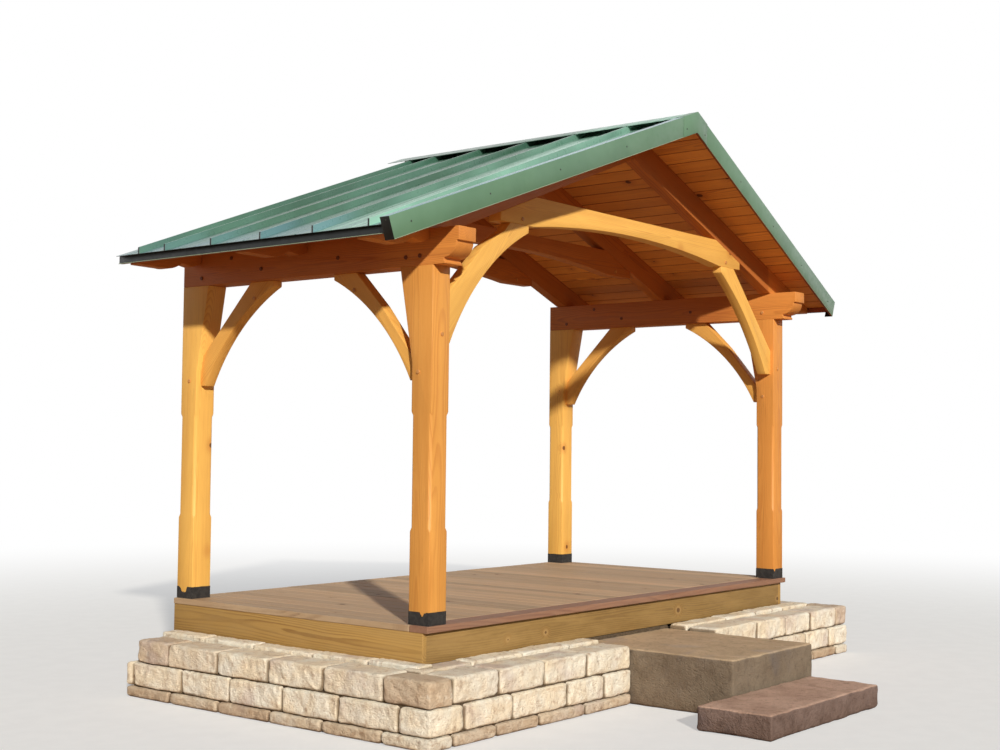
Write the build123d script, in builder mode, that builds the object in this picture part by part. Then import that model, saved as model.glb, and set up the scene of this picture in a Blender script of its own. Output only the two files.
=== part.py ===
from build123d import *
import math
import os

os.makedirs("parts", exist_ok=True)

# Porch canopy: a timber frame with an arched gable truss, a standing seam roof,
# a board deck and a base of stone blocks with two steps.
# Millimetres. X runs along the house wall, the gable faces -Y, Z is up, the paving is at Z = 0.

# Overall sizes
bay_width = 4282.0
bay_depth = 2232.0
deck_top = 600.0

# Posts
post_size = 152.0
post_height = 2070.0
post_chamfer = 15.0
chamfer_from = 530.0
chamfer_to = 1225.0
chamfer_stop = 24.0
chamfer_clear = 8.0
jowl_start = 1505.0
jowl_reach = 104.0
boot_height = 78.0
boot_thick = 2.0

# Plates, the beams along the eaves
plate_height = 210.0
plate_nose = 193.0
nose_block = 82.0
nose_quirk = 18.0
nose_lip = 16.0
nose_lip_step = 8.0
nose_step = 18.0

# Trusses
pitch = 21.0
rafter_depth = 177.0
birdsmouth_inset = 14.0
truss_thick = 96.0
truss_front_inset = 28.0
rear_truss_shift = 54.0
collar_rise = 327.0
collar_depth = 194.0
collar_end_depth = 55.0
collar_arc_rise = 80.0
collar_arc_inset = 326.0

# Rafter tails: the notch is measured from the plate, the belly from the tip
tail_reach = 499.0
tail_tip_depth = 50.0
tail_notch_start = 64.0
tail_notch_length = 95.0
tail_notch_rise = 16.0
tail_belly_back = 190.0
tail_belly_rise = 64.0
tail_scoop_back = 18.0
tail_scoop_drop = 12.0

# Front braces, from post to collar: reaches from the inner face of the post, drops from the collar's seat
brace_thick = 76.0
front_brace_foot_drop = 787.0
front_brace_seat_reach = 597.0
front_brace_nose_reach = 785.0
front_brace_nose = 45.0

# The left front brace is faceted on the back
left_brace_foot_depth = 36.0
left_brace_back_drop = 507.0
left_brace_knee_reach = 341.0
left_brace_knee_drop = 177.0
left_brace_shoulder_reach = 544.0
left_brace_shoulder_drop = 58.0
left_brace_belly_reach = 247.0
left_brace_belly_drop = 460.0

# The right front brace is straight on the back and deeper at the foot
right_brace_foot_depth = 81.0
right_brace_back_drop = 600.0
right_brace_belly_reach = 391.0
right_brace_belly_drop = 378.0

# Side braces, from post to plate: reaches from the post, drops from the underside of the plate
side_brace_reach = 690.0
side_brace_drop = 664.0
side_brace_foot = 48.0
side_brace_nose = 36.0
side_brace_belly_reach = 330.0
side_brace_belly_drop = 282.0

# Backs of the side braces: the ones at the front have a knee, the ones at the rear are straight
front_back_reach = 500.0
front_back_knee_reach = 285.0
front_back_knee_drop = 214.0
front_back_drop = 560.0
rear_back_reach = 478.0
rear_back_drop = 481.0

# Roof build-up, measured square to the slope
board_thick = 22.0
pan_thick = 3.0
rib_height = 38.0
rib_width = 14.0
rib_pitch = 439.0
rib_first = -11.0
rib_count = 5
rib_from_wall = 230.0
sheet_thick = 3.0
sheet_overhang = 25.0
gable_front = 476.0
gable_point = 290.0
rake_drop = 65.0
rake_flange = 70.0
rake_overhang = 24.0
peak_reach = 150.0
peak_thick = 2.0
barge_thick = 19.0
barge_drop = 60.0
eave_board = 22.0
eave_board_depth = 40.0
eave_trim_depth = 57.0
eave_trim_kick = 7.0
cap_reach = 165.0
cap_start = 84.0

# Deck
deck_board = 38.0
deck_side_reach = 25.0
deck_front_reach = 15.0
rim_thick = 38.0
rim_depth = 184.0
rim_side_reach = 20.0
rim_front_inset = 25.0
border_width = 140.0

# Stone base and steps
wall_side_reach = 410.0
wall_front_reach = 380.0
wall_thick = 500.0
wall_back_thick = 200.0
course = 152.0
bed_groove = 10.0
step_left = -600.0
step_right = 465.0
step_reach = 1100.0
step_below_wall = 25.0
step_round = 14.0
low_left = -1060.0
low_right = 386.0
low_tread = 500.0
low_top = 150.0

# Places that follow from the sizes above
wall_y = (bay_depth + step_reach + low_tread) / 2
post_out = bay_width / 2
post_in = post_out - post_size
front_y = wall_y - bay_depth
rear_y = wall_y - post_size
plate_under = deck_top + post_height
plate_top = plate_under + plate_height
slope = math.tan(math.radians(pitch))
rise_factor = 1 / math.cos(math.radians(pitch))
birdsmouth_x = post_in - birdsmouth_inset
rafter_under_ridge = plate_top + slope * birdsmouth_x
rafter_top_ridge = rafter_under_ridge + rafter_depth * rise_factor
truss_front = front_y + truss_front_inset
truss_rear = wall_y - truss_front_inset - truss_thick - rear_truss_shift
truss_middle = (truss_front + truss_rear) / 2
collar_top = plate_top + collar_rise
collar_seat = collar_top - collar_depth
tail_end = post_out + tail_reach
boards_half = tail_end + eave_board
roof_half = boards_half + sheet_thick + sheet_overhang
rake_half = roof_half + rake_overhang
rim_out = post_out + rim_side_reach
rim_front_y = front_y + rim_front_inset
deck_out = post_out + deck_side_reach
deck_front_y = front_y - deck_front_reach
rim_bottom = deck_top - deck_board - rim_depth
wall_top = rim_bottom
wall_out = post_out + wall_side_reach
wall_in = wall_out - wall_thick
wall_front_y = front_y - wall_front_reach
wall_back_of_front = wall_front_y + wall_thick
step_front_y = front_y - step_reach
step_top = wall_top - step_below_wall
apex_y = front_y - gable_front
far = 6000.0

# Section plane of the pointed gable edge: x inwards, y square to the slope, z down the rake
edge_skew = gable_point / roof_half
rake_dir = Vector(1, edge_skew, -slope)
rake_in = Vector(-edge_skew, 1 + slope * slope, slope * edge_skew)
rake_plane = Plane(origin=(0, apex_y, rafter_top_ridge), x_dir=rake_in, z_dir=rake_dir)


def under_rafter(x):
    return rafter_under_ridge - slope * x


def over_rafter(x):
    return rafter_top_ridge - slope * x


# Stone base: left and right walls, front walls each side of the steps, back wall
with BuildPart() as wall_left:
    with BuildSketch(Plane.XY):
        with Locations((-(wall_out + wall_in) / 2, (wall_front_y + wall_y) / 2)):
            Rectangle(wall_thick, wall_y - wall_front_y)
    extrude(amount=wall_top)
    with BuildSketch(Plane.XZ.offset(-wall_y)):
        for bed in (wall_top - course, wall_top - 2 * course):
            with Locations((-wall_out, bed)):
                Rectangle(bed_groove, bed_groove, rotation=45)
    extrude(amount=far, mode=Mode.SUBTRACT)
wall_left.part.label = "wall_left"

with BuildPart() as wall_right:
    add(wall_left.part.mirror(Plane.YZ))
wall_right.part.label = "wall_right"

with BuildPart() as wall_front_left:
    with BuildSketch(Plane.XY):
        with Locations(((-wall_in + step_left) / 2, (wall_front_y + wall_back_of_front) / 2)):
            Rectangle(wall_in + step_left, wall_thick)
    extrude(amount=wall_top)
    with BuildSketch(Plane.YZ.offset(-far)):
        for bed in (wall_top - course, wall_top - 2 * course):
            with Locations((wall_front_y, bed)):
                Rectangle(bed_groove, bed_groove, rotation=45)
    extrude(amount=2 * far, mode=Mode.SUBTRACT)
wall_front_left.part.label = "wall_front_left"

with BuildPart() as wall_front_right:
    with BuildSketch(Plane.XY):
        with Locations(((wall_in + step_right) / 2, (wall_front_y + wall_back_of_front) / 2)):
            Rectangle(wall_in - step_right, wall_thick)
    extrude(amount=wall_top)
    with BuildSketch(Plane.YZ.offset(-far)):
        for bed in (wall_top - course, wall_top - 2 * course):
            with Locations((wall_front_y, bed)):
                Rectangle(bed_groove, bed_groove, rotation=45)
    extrude(amount=2 * far, mode=Mode.SUBTRACT)
wall_front_right.part.label = "wall_front_right"

with BuildPart() as wall_back:
    with BuildSketch(Plane.XY):
        with Locations((0, wall_y - wall_back_thick / 2)):
            Rectangle(2 * wall_in, wall_back_thick)
    extrude(amount=wall_top)
wall_back.part.label = "wall_back"

# Steps: the upper slab is a landing against the deck, the lower one lies in front of it
with BuildPart() as step_upper:
    with BuildSketch(Plane.XY):
        with Locations(((step_left + step_right) / 2, (step_front_y + wall_back_of_front) / 2)):
            Rectangle(step_right - step_left, wall_back_of_front - step_front_y)
    extrude(amount=step_top)
    fillet(step_upper.edges().filter_by(Axis.X).sort_by(Axis.Y)[:2].sort_by(Axis.Z)[-1], step_round)
step_upper.part.label = "step_upper"

with BuildPart() as step_lower:
    with BuildSketch(Plane.XY):
        with Locations(((low_left + low_right) / 2, (-wall_y + step_front_y) / 2)):
            Rectangle(low_right - low_left, step_front_y + wall_y)
    extrude(amount=low_top)
    fillet(step_lower.edges().filter_by(Axis.X).sort_by(Axis.Y)[:2].sort_by(Axis.Z)[-1], step_round)
step_lower.part.label = "step_lower"

# Deck frame
with BuildPart() as rim_left:
    with BuildSketch(Plane.XY.offset(rim_bottom)):
        with Locations((-rim_out + rim_thick / 2, (rim_front_y + wall_y) / 2)):
            Rectangle(rim_thick, wall_y - rim_front_y)
    extrude(amount=rim_depth)
rim_left.part.label = "rim_left"

with BuildPart() as rim_right:
    add(rim_left.part.mirror(Plane.YZ))
rim_right.part.label = "rim_right"

with BuildPart() as rim_front:
    with BuildSketch(Plane.XY.offset(rim_bottom)):
        with Locations((0, rim_front_y + rim_thick / 2)):
            Rectangle(2 * (rim_out - rim_thick), rim_thick)
    extrude(amount=rim_depth)
rim_front.part.label = "rim_front"

with BuildPart() as rim_ledger:
    with BuildSketch(Plane.XY.offset(rim_bottom)):
        with Locations((0, wall_y - rim_thick / 2)):
            Rectangle(2 * (rim_out - rim_thick), rim_thick)
    extrude(amount=rim_depth)
rim_ledger.part.label = "rim_ledger"

# Deck boards run out from the wall and end on a border board along the front
with BuildPart() as deck_boards:
    with BuildSketch(Plane.XY.offset(deck_top - deck_board)):
        with Locations((0, (deck_front_y + border_width + wall_y) / 2)):
            Rectangle(2 * deck_out, wall_y - deck_front_y - border_width)
    extrude(amount=deck_board)
deck_boards.part.label = "deck_boards"

with BuildPart() as deck_border:
    with BuildSketch(Plane.XY.offset(deck_top - deck_board)):
        with Locations((0, deck_front_y + border_width / 2)):
            Rectangle(2 * deck_out, border_width)
    extrude(amount=deck_board)
deck_border.part.label = "deck_border"

# Posts with jowled heads and stopped chamfers
with BuildPart() as post_front_left:
    with BuildSketch(Plane.YZ.offset(-post_out)):
        Polygon(
            (front_y, deck_top),
            (front_y + post_size, deck_top),
            (front_y + post_size, deck_top + jowl_start),
            (front_y + post_size + jowl_reach, plate_under),
            (front_y, plate_under),
            align=None,
        )
    extrude(amount=post_size)
    for side_x in (-1, 1):
        for side_y in (-1, 1):
            arris = Vector(
                -post_out + post_size / 2 + side_x * post_size / 2,
                front_y + post_size / 2 + side_y * post_size / 2,
                deck_top,
            )
            out = Vector(side_x, side_y, 0)
            across = Vector(-side_y, side_x, 0)
            chamfer_plane = Plane(origin=arris, x_dir=out, z_dir=out.cross(Vector(0, 0, 1)))
            with BuildSketch(chamfer_plane):
                Polygon(
                    (chamfer_clear, chamfer_from - chamfer_stop),
                    (chamfer_clear, chamfer_to + chamfer_stop),
                    (0, chamfer_to),
                    (-post_chamfer / math.sqrt(2), chamfer_to - chamfer_stop),
                    (-post_chamfer / math.sqrt(2), chamfer_from + chamfer_stop),
                    (0, chamfer_from),
                    align=None,
                )
            extrude(amount=post_chamfer * 2, both=True, mode=Mode.SUBTRACT)
post_front_left.part.label = "post_front_left"

with BuildPart() as post_front_right:
    add(post_front_left.part.mirror(Plane.YZ))
post_front_right.part.label = "post_front_right"

post_mid_plane = Plane.XZ.offset(-(front_y + wall_y) / 2)
with BuildPart() as post_rear_left:
    add(post_front_left.part.mirror(post_mid_plane))
post_rear_left.part.label = "post_rear_left"

with BuildPart() as post_rear_right:
    add(post_front_right.part.mirror(post_mid_plane))
post_rear_right.part.label = "post_rear_right"

# Black flashing wrapped round the foot of each post
with BuildPart() as post_boots:
    with BuildSketch(Plane.XY.offset(deck_top)):
        for foot_x in (-post_out + post_size / 2, post_out - post_size / 2):
            with Locations((foot_x, front_y + post_size / 2)):
                Rectangle(post_size + 2 * boot_thick, post_size + 2 * boot_thick)
                Rectangle(post_size, post_size, mode=Mode.SUBTRACT)
            with Locations((foot_x, rear_y + post_size / 2 - boot_thick / 2)):
                Rectangle(post_size + 2 * boot_thick, post_size + boot_thick)
            with Locations((foot_x, rear_y + post_size / 2)):
                Rectangle(post_size, post_size, mode=Mode.SUBTRACT)
    extrude(amount=boot_height)
post_boots.part.label = "post_boots"

# Plates with a block, a quirk, a quarter round and a lip on the front end
nose_y = front_y - plate_nose
nose_round = plate_height - nose_block - nose_lip - nose_step
quirk_y = nose_y + nose_quirk
round_top = plate_top - nose_block
round_y = quirk_y + nose_round
lip_top = plate_under + nose_lip
lip_y = round_y - nose_lip_step
round_low = round_top - nose_round
with BuildPart() as plate_left:
    with BuildSketch(Plane.YZ.offset(-post_out)):
        with BuildLine():
            Polyline(
                (round_y, round_low),
                (round_y, lip_top),
                (lip_y, lip_top),
                (lip_y, plate_under),
                (wall_y, plate_under),
                (wall_y, plate_top),
                (nose_y, plate_top),
                (nose_y, round_top),
                (quirk_y, round_top),
            )
            RadiusArc((quirk_y, round_top), (round_y, round_low), -nose_round)
        make_face()
    extrude(amount=post_size)
plate_left.part.label = "plate_left"

with BuildPart() as plate_right:
    add(plate_left.part.mirror(Plane.YZ))
plate_right.part.label = "plate_right"

# Side braces, curved on the belly
side_brace_x = -post_out + (post_size - brace_thick) / 2


def side_profile(face, inward):
    """Points of a side brace for a post face at face; inward is +1 from the front post, -1 from the rear."""
    foot_z = plate_under - side_brace_drop
    return {
        "foot_in": (face, foot_z),
        "foot_out": (face + inward * side_brace_foot, foot_z),
        "belly": (face + inward * side_brace_belly_reach, plate_under - side_brace_belly_drop),
        "nose_low": (face + inward * side_brace_reach, plate_under - side_brace_nose),
        "nose_top": (face + inward * side_brace_reach, plate_under),
    }


# The jowl leans over the top of the post, so it is cut out of the back of each brace
front_face = front_y + post_size
front_pts = side_profile(front_face, 1)
rear_pts = side_profile(rear_y, -1)

with BuildPart() as side_brace_front_left:
    with BuildSketch(Plane.YZ.offset(side_brace_x)):
        with BuildLine():
            Polyline(
                front_pts["nose_low"],
                front_pts["nose_top"],
                (front_face + front_back_reach, plate_under),
                (front_face + front_back_knee_reach, plate_under - front_back_knee_drop),
                (front_face, plate_under - front_back_drop),
                front_pts["foot_in"],
                front_pts["foot_out"],
            )
            ThreePointArc(front_pts["foot_out"], front_pts["belly"], front_pts["nose_low"])
        make_face()
    extrude(amount=brace_thick)
    add(post_front_left.part, mode=Mode.SUBTRACT)
side_brace_front_left.part.label = "side_brace_front_left"

with BuildPart() as side_brace_rear_left:
    with BuildSketch(Plane.YZ.offset(side_brace_x)):
        with BuildLine():
            Polyline(
                rear_pts["nose_low"],
                rear_pts["nose_top"],
                (rear_y - rear_back_reach, plate_under),
                (rear_y, plate_under - rear_back_drop),
                rear_pts["foot_in"],
                rear_pts["foot_out"],
            )
            ThreePointArc(rear_pts["foot_out"], rear_pts["belly"], rear_pts["nose_low"])
        make_face()
    extrude(amount=brace_thick)
    add(post_rear_left.part, mode=Mode.SUBTRACT)
side_brace_rear_left.part.label = "side_brace_rear_left"

with BuildPart() as side_brace_front_right:
    add(side_brace_front_left.part.mirror(Plane.YZ))
side_brace_front_right.part.label = "side_brace_front_right"

with BuildPart() as side_brace_rear_right:
    add(side_brace_rear_left.part.mirror(Plane.YZ))
side_brace_rear_right.part.label = "side_brace_rear_right"

# Front braces, flush with the front of the truss and bearing under the collar
foot_z = collar_seat - front_brace_foot_drop
left_foot = (-post_in + left_brace_foot_depth, foot_z)
left_belly = (-post_in + left_brace_belly_reach, collar_seat - left_brace_belly_drop)
left_tip = (-post_in + front_brace_nose_reach, collar_seat - front_brace_nose)
with BuildPart() as front_brace_left:
    with BuildSketch(Plane.XZ.offset(-truss_front)):
        with BuildLine():
            Polyline(
                left_tip,
                (-post_in + front_brace_nose_reach, collar_seat),
                (-post_in + front_brace_seat_reach, collar_seat),
                (-post_in + left_brace_shoulder_reach, collar_seat - left_brace_shoulder_drop),
                (-post_in + left_brace_knee_reach, collar_seat - left_brace_knee_drop),
                (-post_in, collar_seat - left_brace_back_drop),
                (-post_in, foot_z),
                left_foot,
            )
            ThreePointArc(left_foot, left_belly, left_tip)
        make_face()
    extrude(amount=-brace_thick)
front_brace_left.part.label = "front_brace_left"

right_foot = (post_in - right_brace_foot_depth, foot_z)
right_belly = (post_in - right_brace_belly_reach, collar_seat - right_brace_belly_drop)
right_tip = (post_in - front_brace_nose_reach, collar_seat - front_brace_nose)
with BuildPart() as front_brace_right:
    with BuildSketch(Plane.XZ.offset(-truss_front)):
        with BuildLine():
            Polyline(
                right_tip,
                (post_in - front_brace_nose_reach, collar_seat),
                (post_in - front_brace_seat_reach, collar_seat),
                (post_in, collar_seat - right_brace_back_drop),
                (post_in, foot_z),
                right_foot,
            )
            ThreePointArc(right_foot, right_belly, right_tip)
        make_face()
    extrude(amount=-brace_thick)
front_brace_right.part.label = "front_brace_right"

# Arched collars, one under each pair of rafters
collar_top_x = (rafter_under_ridge - collar_top) / slope
collar_half = (rafter_under_ridge - collar_seat - collar_end_depth) / slope
collar_arc_half = collar_half - collar_arc_inset
with BuildPart() as collar_front:
    with BuildSketch(Plane.XZ.offset(-truss_front)):
        with BuildLine():
            Polyline(
                (collar_arc_half, collar_seat),
                (collar_half, collar_seat),
                (collar_half, under_rafter(collar_half)),
                (collar_top_x, collar_top),
                (-collar_top_x, collar_top),
                (-collar_half, under_rafter(collar_half)),
                (-collar_half, collar_seat),
                (-collar_arc_half, collar_seat),
            )
            ThreePointArc(
                (-collar_arc_half, collar_seat),
                (0, collar_seat + collar_arc_rise),
                (collar_arc_half, collar_seat),
            )
        make_face()
    extrude(amount=-truss_thick)
collar_front.part.label = "collar_front"

with BuildPart() as collar_middle:
    with Locations((0, truss_middle - truss_front, 0)):
        add(collar_front.part)
collar_middle.part.label = "collar_middle"

with BuildPart() as collar_rear:
    with Locations((0, truss_rear - truss_front, 0)):
        add(collar_front.part)
collar_rear.part.label = "collar_rear"

# Rafters, notched over the plates, with shaped tails
tail_notch_x = post_out + tail_notch_start
tail_notch = (tail_notch_x + tail_notch_length, under_rafter(tail_notch_x) + tail_notch_rise)
tail_belly_x = tail_end - tail_belly_back
tail_belly = (tail_belly_x, under_rafter(tail_belly_x) + tail_belly_rise)
tail_scoop = (
    (tail_notch[0] + tail_belly[0]) / 2 - tail_scoop_back,
    (tail_notch[1] + tail_belly[1]) / 2 - tail_scoop_drop,
)
with BuildPart() as rafter_front_right:
    with BuildSketch(Plane.XZ.offset(-truss_front)):
        with BuildLine():
            Polyline(
                tail_belly,
                (tail_end, over_rafter(tail_end) - tail_tip_depth),
                (tail_end, over_rafter(tail_end)),
                (0, rafter_top_ridge),
                (0, rafter_under_ridge),
                (birdsmouth_x, plate_top),
                (post_out, plate_top),
                (post_out, under_rafter(post_out)),
                (tail_notch_x, under_rafter(tail_notch_x)),
                tail_notch,
            )
            ThreePointArc(tail_notch, tail_scoop, tail_belly)
        make_face()
    extrude(amount=-truss_thick)
rafter_front_right.part.label = "rafter_front_right"

with BuildPart() as rafter_middle_right:
    with Locations((0, truss_middle - truss_front, 0)):
        add(rafter_front_right.part)
rafter_middle_right.part.label = "rafter_middle_right"

with BuildPart() as rafter_rear_right:
    with Locations((0, truss_rear - truss_front, 0)):
        add(rafter_front_right.part)
rafter_rear_right.part.label = "rafter_rear_right"

with BuildPart() as rafter_front_left:
    add(rafter_front_right.part.mirror(Plane.YZ))
rafter_front_left.part.label = "rafter_front_left"

with BuildPart() as rafter_middle_left:
    add(rafter_middle_right.part.mirror(Plane.YZ))
rafter_middle_left.part.label = "rafter_middle_left"

with BuildPart() as rafter_rear_left:
    add(rafter_rear_right.part.mirror(Plane.YZ))
rafter_rear_left.part.label = "rafter_rear_left"

# Roof boards, cut to the pointed gable edge
board_inset = sheet_thick + barge_thick
with BuildPart() as roof_boards_right:
    with BuildSketch(Plane.XZ.offset(-wall_y)):
        Polygon(
            (0, over_rafter(0)),
            (boards_half, over_rafter(boards_half)),
            (boards_half, over_rafter(boards_half) + board_thick * rise_factor),
            (0, over_rafter(0) + board_thick * rise_factor),
            align=None,
        )
    extrude(amount=far)
    with BuildSketch(rake_plane):
        with Locations((board_inset - far / 2, 0)):
            Rectangle(far, far)
    extrude(amount=far, both=True, mode=Mode.SUBTRACT)
roof_boards_right.part.label = "roof_boards_right"

with BuildPart() as roof_boards_left:
    add(roof_boards_right.part.mirror(Plane.YZ))
roof_boards_left.part.label = "roof_boards_left"

# Barge boards behind the metal edge
with BuildPart() as barge_board_right:
    with BuildSketch(rake_plane):
        with Locations((sheet_thick + barge_thick / 2, (board_thick - barge_drop) / 2)):
            Rectangle(barge_thick, board_thick + barge_drop)
    extrude(amount=far, both=True)
    with BuildSketch(Plane.XZ.offset(-wall_y)):
        with Locations((boards_half / 2, far / 2)):
            Rectangle(boards_half, far)
    extrude(amount=far, mode=Mode.INTERSECT)
barge_board_right.part.label = "barge_board_right"

with BuildPart() as barge_board_left:
    add(barge_board_right.part.mirror(Plane.YZ))
barge_board_left.part.label = "barge_board_left"

# Eave boards on the ends of the rafters
with BuildPart() as eave_board_right:
    with BuildSketch(Plane.XZ.offset(-wall_y)):
        Polygon(
            (tail_end, over_rafter(tail_end)),
            (tail_end, over_rafter(tail_end) - eave_board_depth),
            (boards_half, over_rafter(tail_end) - eave_board_depth),
            (boards_half, over_rafter(boards_half)),
            align=None,
        )
    extrude(amount=far)
    with BuildSketch(rake_plane):
        with Locations((board_inset - far / 2, 0)):
            Rectangle(far, far)
    extrude(amount=far, both=True, mode=Mode.SUBTRACT)
eave_board_right.part.label = "eave_board_right"

with BuildPart() as eave_board_left:
    add(eave_board_right.part.mirror(Plane.YZ))
eave_board_left.part.label = "eave_board_left"

# Standing seam sheets: a pan and its ribs, one node for each slope; the last rib stands by the wall
pan_low = board_thick * rise_factor
pan_high = (board_thick + pan_thick) * rise_factor
rib_high = (board_thick + pan_thick + rib_height) * rise_factor
with BuildPart() as roof_metal_right:
    with BuildSketch(Plane.XZ.offset(-wall_y)):
        Polygon(
            (0, over_rafter(0) + pan_low),
            (roof_half, over_rafter(roof_half) + pan_low),
            (roof_half, over_rafter(roof_half) + pan_high),
            (0, over_rafter(0) + pan_high),
            align=None,
        )
    extrude(amount=far)
    with BuildSketch(rake_plane):
        with Locations((sheet_thick - far / 2, 0)):
            Rectangle(far, far)
    extrude(amount=far, both=True, mode=Mode.SUBTRACT)
    for rib in range(rib_count + 1):
        rib_y = min(front_y + rib_first + rib * rib_pitch, wall_y - rib_from_wall)
        with BuildSketch(Plane.XZ.offset(-(rib_y + rib_width / 2))):
            Polygon(
                (0, over_rafter(0) + pan_high),
                (roof_half, over_rafter(roof_half) + pan_high),
                (roof_half, over_rafter(roof_half) + rib_high),
                (0, over_rafter(0) + rib_high),
                align=None,
            )
        extrude(amount=rib_width)
roof_metal_right.part.label = "roof_metal_right"

with BuildPart() as roof_metal_left:
    add(roof_metal_right.part.mirror(Plane.YZ))
roof_metal_left.part.label = "roof_metal_left"

# Metal edge of the gable: face, top flange, inner leg and an end plate, cut square to the slope at the eave
flange_v = board_thick + pan_thick + rib_height
rake_top = flange_v + sheet_thick
rake_end_z = over_rafter(rake_half) + rake_top * rise_factor
down_x = math.cos(math.radians(pitch))
down_z = -math.sin(math.radians(pitch))
with BuildPart() as rake_end:
    with BuildSketch(rake_plane):
        with Locations((rake_flange / 2, (rake_top - rake_drop) / 2)):
            Rectangle(rake_flange, rake_top + rake_drop)
    extrude(amount=far, both=True)
    with BuildSketch(Plane.XZ.offset(-wall_y)):
        with Locations((rake_half - down_x * sheet_thick / 2, rake_end_z - down_z * sheet_thick / 2)):
            Rectangle(sheet_thick, far, rotation=-pitch)
    extrude(amount=far, mode=Mode.INTERSECT)

with BuildPart() as rake_trim_right:
    with BuildSketch(rake_plane):
        Polygon(
            (0, -rake_drop),
            (sheet_thick, -rake_drop),
            (sheet_thick, flange_v),
            (rake_flange - sheet_thick, flange_v),
            (rake_flange - sheet_thick, board_thick + pan_thick),
            (rake_flange, board_thick + pan_thick),
            (rake_flange, rake_top),
            (0, rake_top),
            align=None,
        )
    extrude(amount=far, both=True)
    with BuildSketch(Plane.XZ.offset(-wall_y)):
        with Locations((rake_half / 2, far / 2)):
            Rectangle(rake_half, far)
    extrude(amount=far, mode=Mode.INTERSECT)
    with BuildSketch(Plane.XZ.offset(-wall_y)):
        with Locations((rake_half + down_x * far / 2, rake_end_z + down_z * far / 2)):
            Rectangle(far, far, rotation=-pitch)
    extrude(amount=far, mode=Mode.SUBTRACT)
    add(rake_end.part)
rake_trim_right.part.label = "rake_trim_right"

with BuildPart() as rake_trim_left:
    add(rake_trim_right.part.mirror(Plane.YZ))
rake_trim_left.part.label = "rake_trim_left"

# Bent cover over the joint of the two metal edges at the peak of the gable
with BuildPart() as rake_peak:
    with BuildSketch(rake_plane):
        Polygon(
            (-peak_thick, -rake_drop),
            (0, -rake_drop),
            (0, rake_top),
            (rake_flange, rake_top),
            (rake_flange, rake_top + peak_thick),
            (-peak_thick, rake_top + peak_thick),
            align=None,
        )
    extrude(amount=far, both=True)
    with BuildSketch(Plane.XZ.offset(-wall_y)):
        with Locations((peak_reach / 2, far / 2)):
            Rectangle(peak_reach, far)
    extrude(amount=far, mode=Mode.INTERSECT)
    mirror(about=Plane.YZ)
rake_peak.part.label = "rake_peak"

# Metal drip edge of the eaves, kicked out along its foot
eave_trim_top = over_rafter(boards_half) + pan_low
eave_trim_low = eave_trim_top - eave_trim_depth
with BuildPart() as eave_trim_right:
    with BuildSketch(Plane.XZ.offset(-wall_y)):
        Polygon(
            (boards_half, eave_trim_top),
            (boards_half, eave_trim_low + eave_trim_kick),
            (boards_half + eave_trim_kick, eave_trim_low),
            (boards_half + eave_trim_kick + sheet_thick, eave_trim_low),
            (boards_half + sheet_thick, eave_trim_low + eave_trim_kick),
            (boards_half + sheet_thick, over_rafter(boards_half + sheet_thick) + pan_low),
            align=None,
        )
    extrude(amount=far)
    with BuildSketch(rake_plane):
        with Locations((sheet_thick - far / 2, 0)):
            Rectangle(far, far)
    extrude(amount=far, both=True, mode=Mode.SUBTRACT)
eave_trim_right.part.label = "eave_trim_right"

with BuildPart() as eave_trim_left:
    add(eave_trim_right.part.mirror(Plane.YZ))
eave_trim_left.part.label = "eave_trim_left"

# Ridge cap, raised on the ribs
cap_y = apex_y + cap_start
with BuildPart() as ridge_cap:
    with BuildSketch(Plane.XZ.offset(-wall_y)):
        Polygon(
            (0, over_rafter(0) + rib_high),
            (cap_reach, over_rafter(cap_reach) + rib_high),
            (cap_reach, over_rafter(cap_reach) + rib_high + sheet_thick * rise_factor),
            (0, over_rafter(0) + rib_high + sheet_thick * rise_factor),
            (-cap_reach, over_rafter(cap_reach) + rib_high + sheet_thick * rise_factor),
            (-cap_reach, over_rafter(cap_reach) + rib_high),
            align=None,
        )
    extrude(amount=wall_y - cap_y)
    add(rake_trim_right.part, mode=Mode.SUBTRACT)
    add(rake_trim_left.part, mode=Mode.SUBTRACT)
    add(rake_peak.part, mode=Mode.SUBTRACT)
ridge_cap.part.label = "ridge_cap"

# Files
export_step(wall_left.part, "parts/wall_left.step")
export_step(wall_right.part, "parts/wall_right.step")
export_step(wall_front_left.part, "parts/wall_front_left.step")
export_step(wall_front_right.part, "parts/wall_front_right.step")
export_step(wall_back.part, "parts/wall_back.step")
export_step(step_upper.part, "parts/step_upper.step")
export_step(step_lower.part, "parts/step_lower.step")
export_step(rim_left.part, "parts/rim_left.step")
export_step(rim_right.part, "parts/rim_right.step")
export_step(rim_front.part, "parts/rim_front.step")
export_step(rim_ledger.part, "parts/rim_ledger.step")
export_step(deck_boards.part, "parts/deck_boards.step")
export_step(deck_border.part, "parts/deck_border.step")
export_step(post_front_left.part, "parts/post_front_left.step")
export_step(post_front_right.part, "parts/post_front_right.step")
export_step(post_rear_left.part, "parts/post_rear_left.step")
export_step(post_rear_right.part, "parts/post_rear_right.step")
export_step(post_boots.part, "parts/post_boots.step")
export_step(plate_left.part, "parts/plate_left.step")
export_step(plate_right.part, "parts/plate_right.step")
export_step(side_brace_front_left.part, "parts/side_brace_front_left.step")
export_step(side_brace_front_right.part, "parts/side_brace_front_right.step")
export_step(side_brace_rear_left.part, "parts/side_brace_rear_left.step")
export_step(side_brace_rear_right.part, "parts/side_brace_rear_right.step")
export_step(front_brace_left.part, "parts/front_brace_left.step")
export_step(front_brace_right.part, "parts/front_brace_right.step")
export_step(collar_front.part, "parts/collar_front.step")
export_step(collar_middle.part, "parts/collar_middle.step")
export_step(collar_rear.part, "parts/collar_rear.step")
export_step(rafter_front_left.part, "parts/rafter_front_left.step")
export_step(rafter_front_right.part, "parts/rafter_front_right.step")
export_step(rafter_middle_left.part, "parts/rafter_middle_left.step")
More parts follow.
